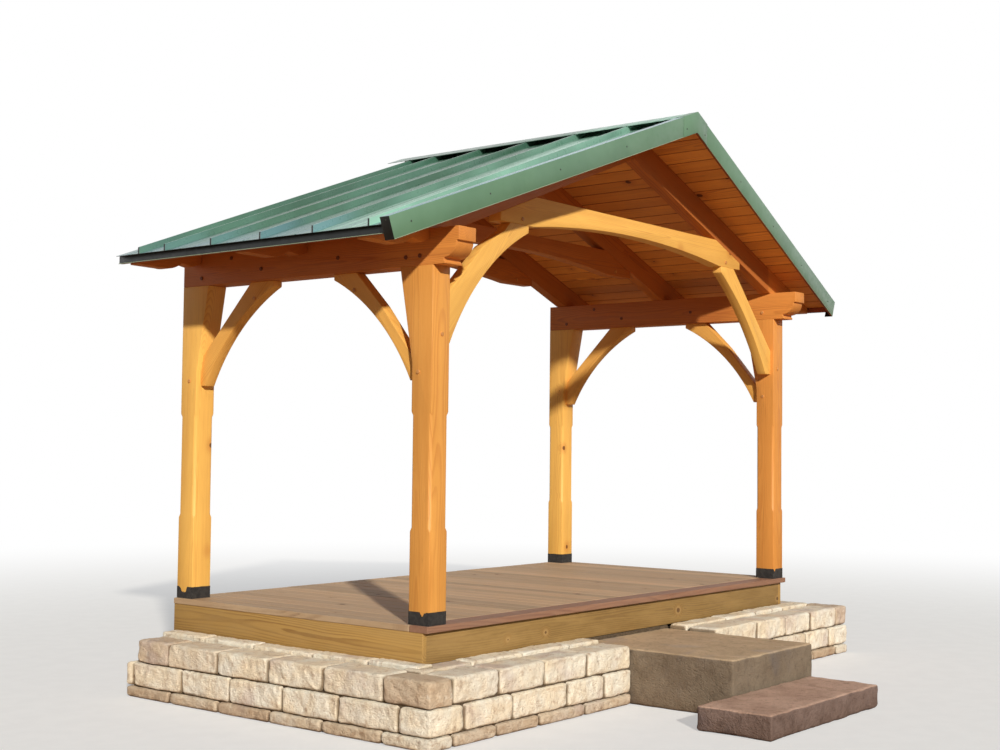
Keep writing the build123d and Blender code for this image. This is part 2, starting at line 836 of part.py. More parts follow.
export_step(rafter_middle_right.part, "parts/rafter_middle_right.step")
export_step(rafter_rear_left.part, "parts/rafter_rear_left.step")
export_step(rafter_rear_right.part, "parts/rafter_rear_right.step")
export_step(roof_boards_left.part, "parts/roof_boards_left.step")
export_step(roof_boards_right.part, "parts/roof_boards_right.step")
export_step(barge_board_left.part, "parts/barge_board_left.step")
export_step(barge_board_right.part, "parts/barge_board_right.step")
export_step(eave_board_left.part, "parts/eave_board_left.step")
export_step(eave_board_right.part, "parts/eave_board_right.step")
export_step(roof_metal_left.part, "parts/roof_metal_left.step")
export_step(roof_metal_right.part, "parts/roof_metal_right.step")
export_step(ridge_cap.part, "parts/ridge_cap.step")
export_step(rake_trim_left.part, "parts/rake_trim_left.step")
export_step(rake_trim_right.part, "parts/rake_trim_right.step")
export_step(rake_peak.part, "parts/rake_peak.step")
export_step(eave_trim_left.part, "parts/eave_trim_left.step")
export_step(eave_trim_right.part, "parts/eave_trim_right.step")
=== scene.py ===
import bmesh
import bpy
import math
import random
from mathutils import Matrix, Vector, noise


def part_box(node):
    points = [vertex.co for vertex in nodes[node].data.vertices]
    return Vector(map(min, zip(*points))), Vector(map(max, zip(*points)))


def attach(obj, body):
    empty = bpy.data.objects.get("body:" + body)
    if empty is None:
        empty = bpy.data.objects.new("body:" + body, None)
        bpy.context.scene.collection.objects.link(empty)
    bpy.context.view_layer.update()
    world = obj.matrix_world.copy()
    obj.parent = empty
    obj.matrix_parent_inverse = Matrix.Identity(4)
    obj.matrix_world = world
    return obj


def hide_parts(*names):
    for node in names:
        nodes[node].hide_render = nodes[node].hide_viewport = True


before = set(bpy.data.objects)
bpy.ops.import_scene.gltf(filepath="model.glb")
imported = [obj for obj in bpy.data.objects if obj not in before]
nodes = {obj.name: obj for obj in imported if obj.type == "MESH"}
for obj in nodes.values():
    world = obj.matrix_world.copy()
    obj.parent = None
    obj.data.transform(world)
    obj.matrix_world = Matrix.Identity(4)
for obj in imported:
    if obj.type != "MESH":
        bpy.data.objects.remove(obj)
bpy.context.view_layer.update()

# Porch canopy dressed in mesh code. Metres, in the frame of the solids:
# X along the house wall, the gable faces -Y, Z up, the wall plane at y = 1.916.

mm = 0.001
scene = bpy.context.scene
random.seed(7)


# Colours, written as sRGB from 0 to 255
def paint(red, green, blue):
    def linear(v):
        v /= 255
        return v / 12.92 if v <= 0.04045 else ((v + 0.055) / 1.055) ** 2.4
    return (linear(red), linear(green), linear(blue), 1.0)


# Node tree helper
class Tree:
    def __init__(self, name):
        self.mat = bpy.data.materials.new(name)
        self.mat.use_nodes = True
        self.nodes = self.mat.node_tree.nodes
        self.links = self.mat.node_tree.links
        self.nodes.clear()
        self.out = self.nodes.new("ShaderNodeOutputMaterial")
        self.shader = self.nodes.new("ShaderNodeBsdfPrincipled")
        self.links.new(self.shader.outputs[0], self.out.inputs["Surface"])

    def put(self, socket, value):
        if isinstance(value, bpy.types.NodeSocket):
            self.links.new(value, socket)
        else:
            socket.default_value = value

    def math(self, kind, a, b=0.0, clamp=False):
        n = self.nodes.new("ShaderNodeMath")
        n.operation = kind
        n.use_clamp = clamp
        self.put(n.inputs[0], a)
        self.put(n.inputs[1], b)
        return n.outputs[0]

    def times(self, a, b):
        return self.math("MULTIPLY", a, b)

    def plus(self, a, b):
        return self.math("ADD", a, b)

    def vec(self, kind, a, b=(0, 0, 0), scale=1.0):
        n = self.nodes.new("ShaderNodeVectorMath")
        n.operation = kind
        self.put(n.inputs[0], a)
        self.put(n.inputs[1], b)
        if kind == "SCALE":
            self.put(n.inputs["Scale"], scale)
        return n.outputs["Value"] if kind == "LENGTH" else n.outputs[0]

    def mix(self, factor, a, b, kind="MIX"):
        n = self.nodes.new("ShaderNodeMix")
        n.data_type = "RGBA"
        n.blend_type = kind
        self.put(n.inputs[0], factor)
        self.put(n.inputs[6], a)
        self.put(n.inputs[7], b)
        return n.outputs[2]

    def tinted(self, factor, colour, by):
        return self.mix(factor, colour, self.mix(1.0, colour, by, "MULTIPLY"))

    def ramp(self, value, low, high, out_low=0.0, out_high=1.0, smooth=True):
        n = self.nodes.new("ShaderNodeMapRange")
        n.interpolation_type = "SMOOTHSTEP" if smooth else "LINEAR"
        for i, v in enumerate((value, low, high, out_low, out_high)):
            self.put(n.inputs[i], v)
        return n.outputs[0]

    def noise(self, vector, scale=1.0, detail=2.0, rough=0.5, bend=0.0, colour=False):
        n = self.nodes.new("ShaderNodeTexNoise")
        self.put(n.inputs["Vector"], vector)
        for name, v in (("Scale", scale), ("Detail", detail), ("Roughness", rough), ("Distortion", bend)):
            n.inputs[name].default_value = v
        return n.outputs["Color" if colour else 0]

    def stretched(self, vector, by, detail=2.0, rough=0.5, bend=0.0, colour=False):
        return self.noise(self.vec("MULTIPLY", vector, by), 1.0, detail, rough, bend, colour)

    def join(self, x, y):
        n = self.nodes.new("ShaderNodeCombineXYZ")
        self.put(n.inputs[0], x)
        self.put(n.inputs[1], y)
        return n.outputs[0]

    def cells(self, vector, scale, feature="F1", flat=False):
        n = self.nodes.new("ShaderNodeTexVoronoi")
        n.feature = feature
        if flat:
            n.voronoi_dimensions = "2D"
        self.put(n.inputs["Vector"], vector)
        n.inputs["Scale"].default_value = scale
        return n

    def split(self, vector):
        n = self.nodes.new("ShaderNodeSeparateXYZ")
        self.put(n.inputs[0], vector)
        return n.outputs

    def attribute(self, name):
        n = self.nodes.new("ShaderNodeAttribute")
        n.attribute_name = name
        return n

    def place(self):
        return self.nodes.new("ShaderNodeTexCoord").outputs["Object"]

    def normal(self):
        return self.nodes.new("ShaderNodeNewGeometry").outputs["Normal"]

    def bump(self, height, strength, distance):
        n = self.nodes.new("ShaderNodeBump")
        n.inputs["Strength"].default_value = strength
        n.inputs["Distance"].default_value = distance
        self.put(n.inputs["Height"], height)
        self.links.new(n.outputs[0], self.shader.inputs["Normal"])

    def finish(self, colour, rough, specular=0.5):
        self.put(self.shader.inputs["Base Color"], colour)
        self.put(self.shader.inputs["Roughness"], rough)
        self.shader.inputs["Specular IOR Level"].default_value = specular
        return self.mat


# Wood: growth rings round a pith, knots that bend them, fibres, streaks and fine checks.
# The attribute "grain" holds metres across (x, y) and along (z) the fibres. "tone" goes from light (0) to
# dark (1), board by board, and over 1.1 it is painted shade at the bottom of a joint. Flat boards have their
# knots spread along the one axis "across". The tint for the front ends is painted sunlight: it brightens the
# outer front ends that stand out from the roof's shade.
def wood(name, early, late, knot, ring=0.007, ring_share=0.45, knots=0.5, knot_scale=4.4, across=None,
         worn=0.0, worn_colour=None, rough=(0.42, 0.62), checks=0.5, relief=0.35, streaks=0.18, pale_ring=0.0,
         light=(1.07, 1.05, 1.02, 1), dark=(0.84, 0.80, 0.76, 1), painted_sun_tint=None):
    t = Tree(name)
    grain = t.attribute("grain").outputs["Vector"]
    tone = t.attribute("tone").outputs["Fac"]
    moved = grain
    for stretch, by in (((2.4, 2.4, 0.55), 0.09), ((16, 16, 3.5), 0.008)):
        ripple = t.vec("SUBTRACT", t.stretched(grain, stretch, colour=True), (0.5, 0.5, 0.5))
        moved = t.vec("ADD", moved, t.vec("SCALE", ripple, scale=by))
    if across is None:
        spots = t.cells(t.vec("MULTIPLY", grain, (1.0, 1.0, 0.8)), knot_scale)
    else:
        parts = t.split(grain)
        spots = t.cells(t.join(parts[across], t.times(parts[2], 0.8)), knot_scale, flat=True)
    lot = t.split(spots.outputs["Color"])
    radius = t.ramp(lot[0], 1.0 - knots, 1.0, 0.0, 0.085, smooth=False)
    past_knot = t.math("SUBTRACT", spots.outputs["Distance"], radius)
    inside = t.ramp(past_knot, -0.020, 0.002, 1.0, 0.0)
    halo = t.ramp(past_knot, 0.0, 0.26, 1.0, 0.0)
    some = t.ramp(radius, 0.015, 0.03)
    swirl = t.times(t.times(halo, halo), some)
    around = t.vec("LENGTH", t.vec("MULTIPLY", moved, (1, 1, 0)))
    turns = t.math("DIVIDE", t.plus(around, t.times(swirl, 0.026)), ring)
    phase = t.math("FRACT", turns)
    late_mask = t.times(t.ramp(phase, 0.35, 0.86), t.ramp(phase, 0.9, 1.0, 1.0, 0.0))
    streak = t.stretched(moved, (34, 34, 0.9), 3.0, 0.55)
    broad = t.stretched(grain, (7, 7, 0.8), 2.0, 0.5)
    fibre = t.stretched(grain, (420, 420, 9), 3.0, 0.6)
    share = t.times(late_mask, t.ramp(broad, 0.3, 0.75, ring_share * 0.55, ring_share * 1.5))
    share = t.math("ADD", share, t.ramp(streak, 0.35, 0.75, -0.05, streaks), clamp=True)
    colour = t.mix(share, early, late)
    colour = t.mix(t.ramp(fibre, 0.3, 0.7, 0.0, 0.16), colour, late)
    warm = t.mix(t.ramp(tone, 0.0, 1.0, smooth=False), light, dark)
    colour = t.mix(1.0, colour, warm, "MULTIPLY")
    if painted_sun_tint:
        # Painted sunlight: the outer front ends are brightened where the sun falls on them
        xyz = t.split(t.place())
        outer = t.ramp(t.math("ABSOLUTE", xyz[0]), 1.93, 1.98)
        colour = t.tinted(t.times(outer, t.ramp(xyz[1], 0.25, -0.15)), colour, painted_sun_tint)
    cloud = t.stretched(grain, (3.1, 3.1, 1.1), 3.0, 0.6)
    colour = t.tinted(t.ramp(cloud, 0.35, 0.7, 0.0, 0.28), colour, (0.72, 0.66, 0.6, 1))
    if worn:
        patch = t.stretched(grain, (9, 9, 2.2), 5.0, 0.65)
        colour = t.mix(t.ramp(patch, 0.36, 0.68, worn * 0.25, worn), colour, worn_colour)
    colour = t.mix(t.times(swirl, 0.45), colour, late)
    if pale_ring:
        ring_mask = t.times(t.ramp(past_knot, 0.0, 0.09, 1.0, 0.0), some)
        paler = t.mix(0.5, early, (0.9, 0.75, 0.42, 1))
        colour = t.mix(t.times(ring_mask, pale_ring), colour, paler)
    colour = t.mix(t.times(inside, 0.86), colour, knot)
    split_line = t.stretched(moved, (46, 46, 0.85), 2.0, 0.45)
    near = t.math("ABSOLUTE", t.math("SUBTRACT", split_line, 0.5))
    where = t.ramp(t.stretched(grain, (5, 5, 1.4), 1.0), 0.52, 0.66)
    crack = t.times(t.ramp(near, 0.0, 0.016, 1.0, 0.0), t.times(where, checks))
    colour = t.mix(t.times(crack, 0.72), colour, knot)
    joint_shade = t.mix(1.0, knot, (0.5, 0.45, 0.4, 1), "MULTIPLY")
    colour = t.mix(t.ramp(tone, 1.1, 1.7, 0.0, 0.85), colour, joint_shade)
    uneven = t.ramp(t.plus(fibre, t.times(late_mask, -0.25)), 0.1, 0.8, rough[0], rough[1])
    height = t.plus(t.times(fibre, 0.5), t.times(late_mask, 0.35))
    height = t.math("SUBTRACT", height, t.times(crack, 1.6))
    t.bump(height, relief, 0.0012)
    return t.finish(colour, uneven, 0.35)


timber = wood("honey_timber", paint(238, 172, 88), paint(204, 128, 58), paint(92, 46, 20), ring=0.0085,
              ring_share=0.34, checks=0.2, light=(1.15, 1.42, 1.45, 1), dark=(0.90, 0.80, 0.74, 1))
# A darker, redder copy of the honey timber with the roof's shade painted into it, for the plates, rafters and
# inner collars
painted_shade_timber = wood("painted_shade_timber", paint(214, 136, 66), paint(170, 94, 46), paint(74, 34, 20), ring=0.0085,
                   checks=0.3, light=(1.1, 1.1, 1.1, 1), dark=(0.72, 0.62, 0.62, 1),
                   painted_sun_tint=(1.35, 1.6, 1.5, 1))
pine = wood("pine_boards", paint(232, 156, 80), paint(178, 100, 50), paint(60, 26, 14), ring=0.0085,
            knots=0.42, ring_share=0.5, checks=0.3, rough=(0.36, 0.55), knot_scale=3.6, across=0,
            light=(1.32, 1.46, 1.36, 1), dark=(0.74, 0.66, 0.66, 1))
edge_wood = wood("edge_boards", paint(168, 92, 58), paint(122, 58, 38), paint(60, 26, 16), ring=0.006,
                 knots=0.4)
treated = wood("treated_wood", paint(204, 162, 90), paint(150, 108, 54), paint(92, 60, 30), ring=0.013,
               knots=0.3, ring_share=0.7, worn=0.5, worn_colour=paint(176, 144, 90), rough=(0.55, 0.75),
               checks=0.3, pale_ring=0.22, across=1, light=(1.0, 1.0, 1.0, 1), dark=(0.46, 0.48, 0.54, 1))
deck_wood = wood("deck_wood", paint(198, 168, 134), paint(154, 122, 92), paint(90, 62, 42), ring=0.008,
                 knots=0.2, ring_share=0.4, worn=0.6, worn_colour=paint(192, 168, 140), rough=(0.6, 0.82),
                 across=0, light=(1.4, 1.38, 1.34, 1), dark=(0.82, 0.82, 0.80, 1))
border_wood = wood("border_wood", paint(162, 122, 98), paint(120, 84, 68), paint(82, 54, 42), ring=0.008,
                   knots=0.4, ring_share=0.5, worn=0.4, worn_colour=paint(152, 124, 106), rough=(0.6, 0.8))
peg_wood = wood("peg_wood", paint(232, 172, 104), paint(188, 126, 68), paint(60, 32, 16), ring=0.004,
                knots=0.0, ring_share=0.6, light=(1.0, 1.0, 1.0, 1), dark=(0.26, 0.18, 0.17, 1))


# Stone: blocks with their own tones, mottling, veins and pits, damp near the ground, and darkened towards the
# joints with dirt and painted shade.
# The attribute "joint" holds how far a point lies behind the nearest face of its block, before it is worn.
# "side_shade" paints shade onto the upright faces of the steps, darker than their tops.
def stone(name, pale, mid, deep, cool, grit=1.0, rough=(0.72, 0.95), damp=0.5, side_shade=0.0):
    t = Tree(name)
    p = t.place()
    tone = t.attribute("tone").outputs["Fac"]
    shift = t.vec("SCALE", (13.7, 7.9, 5.3), scale=tone)
    q = t.vec("ADD", p, shift)
    big = t.noise(q, 3.4, 4.0, 0.6, 0.6)
    middle = t.noise(q, 17.0, 5.0, 0.66, 0.3)
    fine = t.noise(q, 95.0, 4.0, 0.7)
    colour = t.mix(t.ramp(big, 0.34, 0.66), mid, pale)
    colour = t.mix(t.ramp(tone, 0.50, 1.0, 0.0, 0.9), colour, t.mix(0.62, mid, deep))
    colour = t.mix(t.ramp(middle, 0.5, 0.76, 0.0, 0.7), colour, deep)
    colour = t.mix(t.ramp(middle, 0.44, 0.26, 0.0, 0.5), colour, pale)
    cold = t.noise(t.vec("ADD", q, (4.1, 9.3, 2.2)), 2.2, 3.0, 0.55, 0.4)
    colour = t.mix(t.ramp(cold, 0.56, 0.72, 0.0, 0.6), colour, cool)
    speck = t.ramp(fine, 0.28, 0.4, 1.0, 0.0)
    colour = t.mix(t.times(speck, 0.35), colour, deep)
    up = t.split(p)[2]
    low = t.times(t.ramp(up, 0.0, 0.14, 1.0, 0.0), t.ramp(middle, 0.3, 0.6, 0.4, 1.0))
    colour = t.tinted(t.times(low, damp), colour, (0.58, 0.52, 0.46, 1))
    pits = t.cells(t.vec("ADD", q, t.vec("SCALE", t.noise(q, 30.0, 2.0, colour=True), scale=0.02)), 62.0)
    pit = t.ramp(pits.outputs["Distance"], 0.0, 0.5)
    chisel = t.stretched(q, (46.0, 46.0, 92.0), 3.0, 0.6, 0.7)
    height = t.plus(t.times(middle, 1.2), t.times(fine, 0.8))
    height = t.plus(height, t.times(pit, 0.25))
    height = t.plus(height, chisel)
    # Painted shade in the chisel creases
    colour = t.mix(t.ramp(chisel, 0.44, 0.28, 0.0, 0.45), colour, deep)
    # Dirt and painted shade, deeper the further a point lies behind the face of its block
    joint_dirt_and_shade = t.ramp(t.attribute("joint").outputs["Fac"], 0.005, 0.021, 0.0, 0.9)
    colour = t.tinted(joint_dirt_and_shade, colour, (0.24, 0.19, 0.14, 1))
    if side_shade:
        # Painted shade on the upright faces
        side = t.ramp(t.split(t.normal())[2], 0.85, 0.35, 0.0, side_shade)
        colour = t.tinted(side, colour, (0.36, 0.38, 0.42, 1))
    t.bump(height, grit, 0.008)
    return t.finish(colour, t.ramp(fine, 0.3, 0.7, rough[0], rough[1]), 0.3)


wall_stone = stone("wall_stone", paint(255, 251, 236), paint(252, 237, 209), paint(178, 144, 112),
                   paint(210, 192, 184))
landing_stone = stone("landing_stone", paint(216, 190, 156), paint(196, 170, 138), paint(150, 126, 102),
                      paint(182, 166, 154), grit=0.8, side_shade=1.0)
slab_stone = stone("slab_stone", paint(214, 180, 160), paint(190, 156, 136), paint(136, 108, 92),
                   paint(162, 144, 144), grit=0.9, side_shade=1.0)


# Mortar and shade behind the blocks
def dark_core():
    t = Tree("joint_shade")
    p = t.place()
    n = t.noise(p, 60.0, 3.0, 0.6)
    t.bump(n, 0.6, 0.004)
    return t.finish(t.mix(t.ramp(n, 0.3, 0.7), paint(74, 62, 50), paint(104, 90, 72)), 0.95, 0.2)


core = dark_core()


# Green sheet metal: baked paint with chalky fading, fine streaks down the slope, dust and slight oil canning.
# "foot" is the share of a painted bluish reflection of the sky along the eaves, and any of it also paints a
# paler reflection of the sky along the gable edge.
def sheet_metal(name, main, faded, deep, flow=(0.45, 24.0, 0.0), streak_share=0.5, foot=0.0,
                rough=(0.3, 0.46)):
    t = Tree(name)
    p = t.place()
    fade = t.noise(p, 1.6, 4.0, 0.6)
    streaks = t.stretched(p, flow, 4.0, 0.62)
    threads = t.stretched(p, (flow[0] * 2.0, flow[1] * 5.0, 0.0), 2.0, 0.5)
    grime = t.noise(p, 22.0, 5.0, 0.65)
    fine = t.noise(p, 260.0, 2.0, 0.5)
    colour = t.mix(t.ramp(fade, 0.3, 0.7), main, faded)
    colour = t.mix(t.ramp(streaks, 0.44, 0.70, 0.0, streak_share), colour, deep)
    colour = t.mix(t.ramp(streaks, 0.50, 0.30, 0.0, streak_share), colour, faded)
    colour = t.mix(t.ramp(threads, 0.52, 0.75, 0.0, streak_share * 0.5), colour, deep)
    colour = t.mix(t.ramp(grime, 0.56, 0.8, 0.0, 0.22), colour, deep)
    if foot:
        xyz = t.split(p)
        # Painted reflections of the sky: bluish along the eaves, paler along the gable edge
        eaves = t.ramp(t.math("ABSOLUTE", xyz[0]), 2.2, 2.66)
        eave_sky_reflection = t.times(eaves, t.ramp(streaks, 0.35, 0.6, 0.1, 1.0))
        colour = t.mix(t.times(eave_sky_reflection, foot), colour, paint(116, 160, 186))
        gable_sky_reflection = t.times(t.ramp(xyz[1], 0.25, -0.10), t.ramp(streaks, 0.60, 0.42, 0.35, 1.0))
        colour = t.mix(t.times(gable_sky_reflection, 0.95), colour, paint(152, 202, 184))
    up = t.split(t.normal())[2]
    dust = t.times(t.ramp(up, 0.5, 0.95), t.ramp(grime, 0.3, 0.7, 0.0, 0.14))
    colour = t.mix(dust, colour, paint(140, 156, 150))
    height = t.plus(fade, t.times(fine, 0.02))
    height = t.plus(height, t.times(streaks, 0.12))
    t.bump(height, 0.25, 0.004)
    mat = t.finish(colour, t.ramp(grime, 0.3, 0.7, rough[0], rough[1]), 0.45)
    t.shader.inputs["Coat Weight"].default_value = 0.12
    t.shader.inputs["Coat Roughness"].default_value = 0.25
    return mat


green = sheet_metal("green_metal", paint(62, 100, 80), paint(82, 124, 108), paint(36, 68, 60), foot=0.45,
                    streak_share=0.65, rough=(0.24, 0.4))
green_trim = sheet_metal("green_metal_trim", paint(92, 130, 102), paint(104, 142, 116), paint(68, 104, 86),
                         flow=(1.2, 1.2, 1.2), streak_share=0.3)
# Bluish green with a painted reflection of the sky, for the flat tops of the rake trims
rake_top_sky_paint = sheet_metal("green_metal_painted_sky", paint(112, 156, 166), paint(136, 178, 190), paint(84, 128, 128),
                        flow=(1.2, 6.0, 1.2), rough=(0.22, 0.34))
green_dark = sheet_metal("green_metal_dark", paint(8, 14, 14), paint(12, 20, 20), paint(5, 9, 9),
                         flow=(1.2, 1.2, 1.2), streak_share=0.3, rough=(0.4, 0.55))
# Pale green with a painted highlight, for the folded hems
hem_highlight_metal = sheet_metal("green_metal_hem_highlight", paint(150, 168, 140), paint(166, 180, 152), paint(112, 130, 106),
                        flow=(3.0, 3.0, 3.0), streak_share=0.4)


# Black flashing: soft wrinkled membrane with dust
def membrane():
    t = Tree("black_flashing")
    p = t.place()
    n = t.noise(p, 30.0, 4.0, 0.6, 0.8)
    f = t.noise(p, 240.0, 3.0, 0.6)
    colour = t.mix(t.ramp(n, 0.35, 0.7), paint(32, 31, 31), paint(54, 52, 50))
    colour = t.mix(t.ramp(f, 0.58, 0.78, 0.0, 0.4), colour, paint(92, 86, 78))
    t.bump(t.plus(n, t.times(f, 0.15)), 0.5, 0.003)
    return t.finish(colour, t.ramp(f, 0.3, 0.7, 0.45, 0.7), 0.4)


flashing = membrane()


# Weathered screws
def screw_steel():
    t = Tree("screw_metal")
    p = t.place()
    n = t.noise(p, 300.0, 3.0, 0.6)
    colour = t.mix(t.ramp(n, 0.3, 0.7), paint(44, 52, 48), paint(78, 84, 80))
    t.bump(n, 0.2, 0.001)
    t.shader.inputs["Metallic"].default_value = 0.4
    return t.finish(colour, t.ramp(n, 0.3, 0.7, 0.3, 0.5))


screw_metal = screw_steel()


# Mesh helpers
def place_in_scene(name, data):
    ob = bpy.data.objects.new(name, data)
    scene.collection.objects.link(ob)
    return ob


def add_piece(name, mesh, material, stands_for=()):
    ob = place_in_scene(name, mesh)
    mesh.materials.clear()
    mesh.materials.append(material)
    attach(ob, "root")
    if stands_for:
        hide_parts(*stands_for)


def axes_for(along):
    w = Vector(along).normalized()
    side = Vector((0, 0, 1)) if abs(w.z) < 0.8 else Vector((1, 0, 0))
    u = side.cross(w).normalized()
    return u, w.cross(u).normalized(), w


board_from_pith = 0.09


# Where one timber or board sits in its log, and its tone. A board is cut far from the pith, a flat sawn one
# straight to one side of it.
def grain_of(along, middle, pith=0.05, tone=None, far=False, flat_sawn=False):
    u, v, w = axes_for(along)
    turn = random.uniform(0, 2 * math.pi)
    if flat_sawn:
        turn = random.uniform(-0.15, 0.15)
    off = pith * random.uniform(0.4, 1.0) + (board_from_pith if far else 0.0)
    du, dv = off * math.cos(turn), off * math.sin(turn)
    lean_u, lean_v = random.uniform(-0.022, 0.022), random.uniform(-0.022, 0.022)
    start = random.uniform(0, 40)
    for _ in range(2):
        random.randint(0, 30)  # not used, but keeps the order of the draws that follow
    tone = random.random() if tone is None else tone
    middle = Vector(middle)

    def at(p):
        d = p - middle
        along_w = d.dot(w)
        return (d.dot(u) + du + lean_u * along_w, d.dot(v) + dv + lean_v * along_w, along_w + start)
    return at, tone


def write_number(mesh, name, values):
    mesh.attributes.new(name, "FLOAT", "POINT")
    mesh.attributes[name].data.foreach_set("value", values)


def write_grain(mesh, rows):
    mesh.attributes.new("grain", "FLOAT_VECTOR", "POINT")
    mesh.attributes["grain"].data.foreach_set("vector", [c for g, _ in rows for c in g])
    write_number(mesh, "tone", [s for _, s in rows])


def shade(mesh, angle=30):
    mesh.shade_smooth()
    mesh.set_sharp_from_angle(angle=math.radians(angle))


# A copy of a solid with eased arrises
def eased(node, ease, sharp=24):
    bm = bmesh.new()
    bm.from_mesh(nodes[node].data)
    bmesh.ops.remove_doubles(bm, verts=bm.verts, dist=1e-5)
    bmesh.ops.dissolve_limit(bm, angle_limit=math.radians(0.4), verts=bm.verts, edges=bm.edges)
    keen = [e for e in bm.edges if len(e.link_faces) == 2 and e.calc_face_angle(0) > math.radians(sharp)]
    bmesh.ops.bevel(bm, geom=keen, offset=ease, offset_type="OFFSET", segments=2,
                    profile=0.5, affect="EDGES", clamp_overlap=True)
    return bm


def mesh_from(bm, name):
    mesh = bpy.data.meshes.new(name)
    bm.normal_update()
    bm.to_mesh(mesh)
    bm.free()
    return mesh


def plain_piece(name, bm, angle, material, stands_for=()):
    mesh = mesh_from(bm, name)
    shade(mesh, angle)
    add_piece(name, mesh, material, stands_for)


# Faces round a row of loops that have as many points each, and over the last loop and, if wanted, the first
def skin(bm, loops, first=True):
    n = len(loops[0])
    for a, b in zip(loops, loops[1:]):
        for i in range(n):
            j = (i + 1) % n
            bm.faces.new((a[i], a[j], b[j], b[i]))
    if first:
        bm.faces.new(list(reversed(loops[0])))
    bm.faces.new(loops[-1])


def timber_piece(node, along, material, ease=3 * mm, pith=0.06, tone=None, flat_sawn=False):
    mesh = mesh_from(eased(node, ease), "dressed_" + node)
    lo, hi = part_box(node)
    at, tone = grain_of(along, (lo + hi) / 2, pith, tone, flat_sawn=flat_sawn)
    write_grain(mesh, [(at(v.co), tone) for v in mesh.vertices])
    shade(mesh)
    add_piece("dressed_" + node, mesh, material, (node,))


# Timber frame
pitch = math.radians(21)
slope = math.tan(pitch)
hands = (("left", -1), ("right", 1))
trusses = ("front", "middle", "rear")
# The dark tone of the front right post is painted shade
post_tones = {"front_left": 0.72, "front_right": 0.95, "rear_left": 0.0, "rear_right": 0.03}
for end, lean in (("front", 1), ("rear", -1)):
    for hand, _ in hands:
        timber_piece(f"post_{end}_{hand}", (0, 0, 1), timber, 2.5 * mm,
                     tone=post_tones[f"{end}_{hand}"])
        timber_piece(f"side_brace_{end}_{hand}", (0, 0.7, 0.7 * lean), timber,
                     tone=random.uniform(0.25, 0.4))
for hand, sx in hands:
    timber_piece(f"plate_{hand}", (0, 1, 0), painted_shade_timber, tone=0.6)
    timber_piece(f"front_brace_{hand}", (-sx * 0.67, 0, 0.74), timber, tone=0.0)
    for truss in trusses:
        timber_piece(f"rafter_{truss}_{hand}", (sx, 0, -slope), painted_shade_timber,
                     tone=random.uniform(0.2, 0.8))
timber_piece("collar_front", (1, 0, 0), timber, tone=0.04)
for truss in trusses[1:]:
    timber_piece(f"collar_{truss}", (1, 0, 0), painted_shade_timber, tone=random.uniform(0.4, 0.7))
for hand, sx in hands:
    timber_piece(f"barge_board_{hand}", (sx, 0, -slope), edge_wood, 1.5 * mm)
    timber_piece(f"eave_board_{hand}", (0, 1, 0), edge_wood, 1.5 * mm)
    timber_piece(f"rim_{hand}", (0, 1, 0), treated, pith=0.05, tone=0.4, flat_sawn=True)
for node, tone in (("rim_front", 0.98), ("rim_ledger", 0.6)):
    timber_piece(node, (1, 0, 0), treated, pith=0.05, tone=tone, flat_sawn=True)


joint_tone = 2.0


# Many boards in one mesh, each drawn through rings of points from end to end.
# The points named in "deep" lie at the bottom of a joint and get the tone of its shade.
class Boards:
    def __init__(self):
        self.bm = bmesh.new()
        self.rows = []

    def add(self, rings, at, tone, deep=()):
        loops = []
        for ring in rings:
            loops.append([self.bm.verts.new(p) for p in ring])
            self.rows += [(at(Vector(p)), joint_tone if i in deep else tone) for i, p in enumerate(ring)]
        skin(self.bm, loops)

    def piece(self, name, material, slot, stands_for):
        bmesh.ops.recalc_face_normals(self.bm, faces=self.bm.faces)
        mesh = mesh_from(self.bm, name)
        write_grain(mesh, self.rows)
        shade(mesh, 20)
        add_piece(name, mesh, material, stands_for)


# Roof: the gable edge runs out to a point at the ridge, ridge_reach further than at the eaves
wall_y = 1.916
apex_y = -0.792
roof_half = 2.690
boards_half = 2.662
over_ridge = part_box("rafter_front_left")[1].z
ridge_reach = 0.290
skew = ridge_reach / roof_half
normal_size = math.sqrt(skew ** 2 + (1 + slope ** 2) ** 2 + (slope * skew) ** 2)


# The y of the gable edge, with an inset square to its face
def gable_edge(x, z, inset):
    x = abs(x)
    return apex_y + (inset * normal_size + skew * x - slope * skew * (z - over_ridge)) / (1 + slope ** 2)


# A point of one slope: s down from the ridge, v up from the boards' underside, at y or at the gable edge
def roof_point(side, s, v, y=None, inset=0.022):
    c, k = math.cos(pitch), math.sin(pitch)
    x = s * c + v * k
    z = over_ridge - s * k + v * c
    return (side * x, gable_edge(x, z, inset) if y is None else y, z)


# Roof boards: tongued and grooved, parallel to the ridge, with a V at each joint
board_face, board_thick = 0.133, 0.021
board_v, board_gap = 0.006, 0.0004
slope_length = boards_half * (1 / math.cos(pitch))
for hand, sx in hands:
    boards = Boards()
    low = slope_length
    while low > 0.002:
        high = max(low - board_face, 0.0)
        start, end = high + board_gap, low - board_gap
        section = [(start, board_v), (high + board_v, 0.0), (low - board_v, 0.0), (end, board_v),
                   (end, board_thick), (start, board_thick)]
        deep = (0, 3, 4, 5)
        if high == 0.0:
            section = [(0.0, 0.0), (low - board_v, 0.0), (end, board_v), (end, board_thick),
                       (0.0005 - board_thick * slope, board_thick)]
            deep = (2, 3, 4)
        if low == slope_length:
            section[2:5] = [(low, 0.0), (low - board_v * slope, board_v),
                            (low - board_thick * slope, board_thick)]
            deep = (0, 5)
        middle = roof_point(sx, (low + high) / 2, 0.011, 0.6)
        # The boards of the left slope are toned darker as painted shade, those of the right lighter as
        # painted light
        tone = random.uniform(0.35, 1.0) if sx < 0 else random.uniform(0.0, 0.6)
        at, tone = grain_of((0, 1, 0), middle, tone=tone, far=True)
        boards.add([[roof_point(sx, s, v, y) for s, v in section] for y in (None, wall_y)], at, tone, deep)
        low = high
    boards.piece(f"roof_lining_{hand}", pine, "pine_boards", (f"roof_boards_{hand}",))


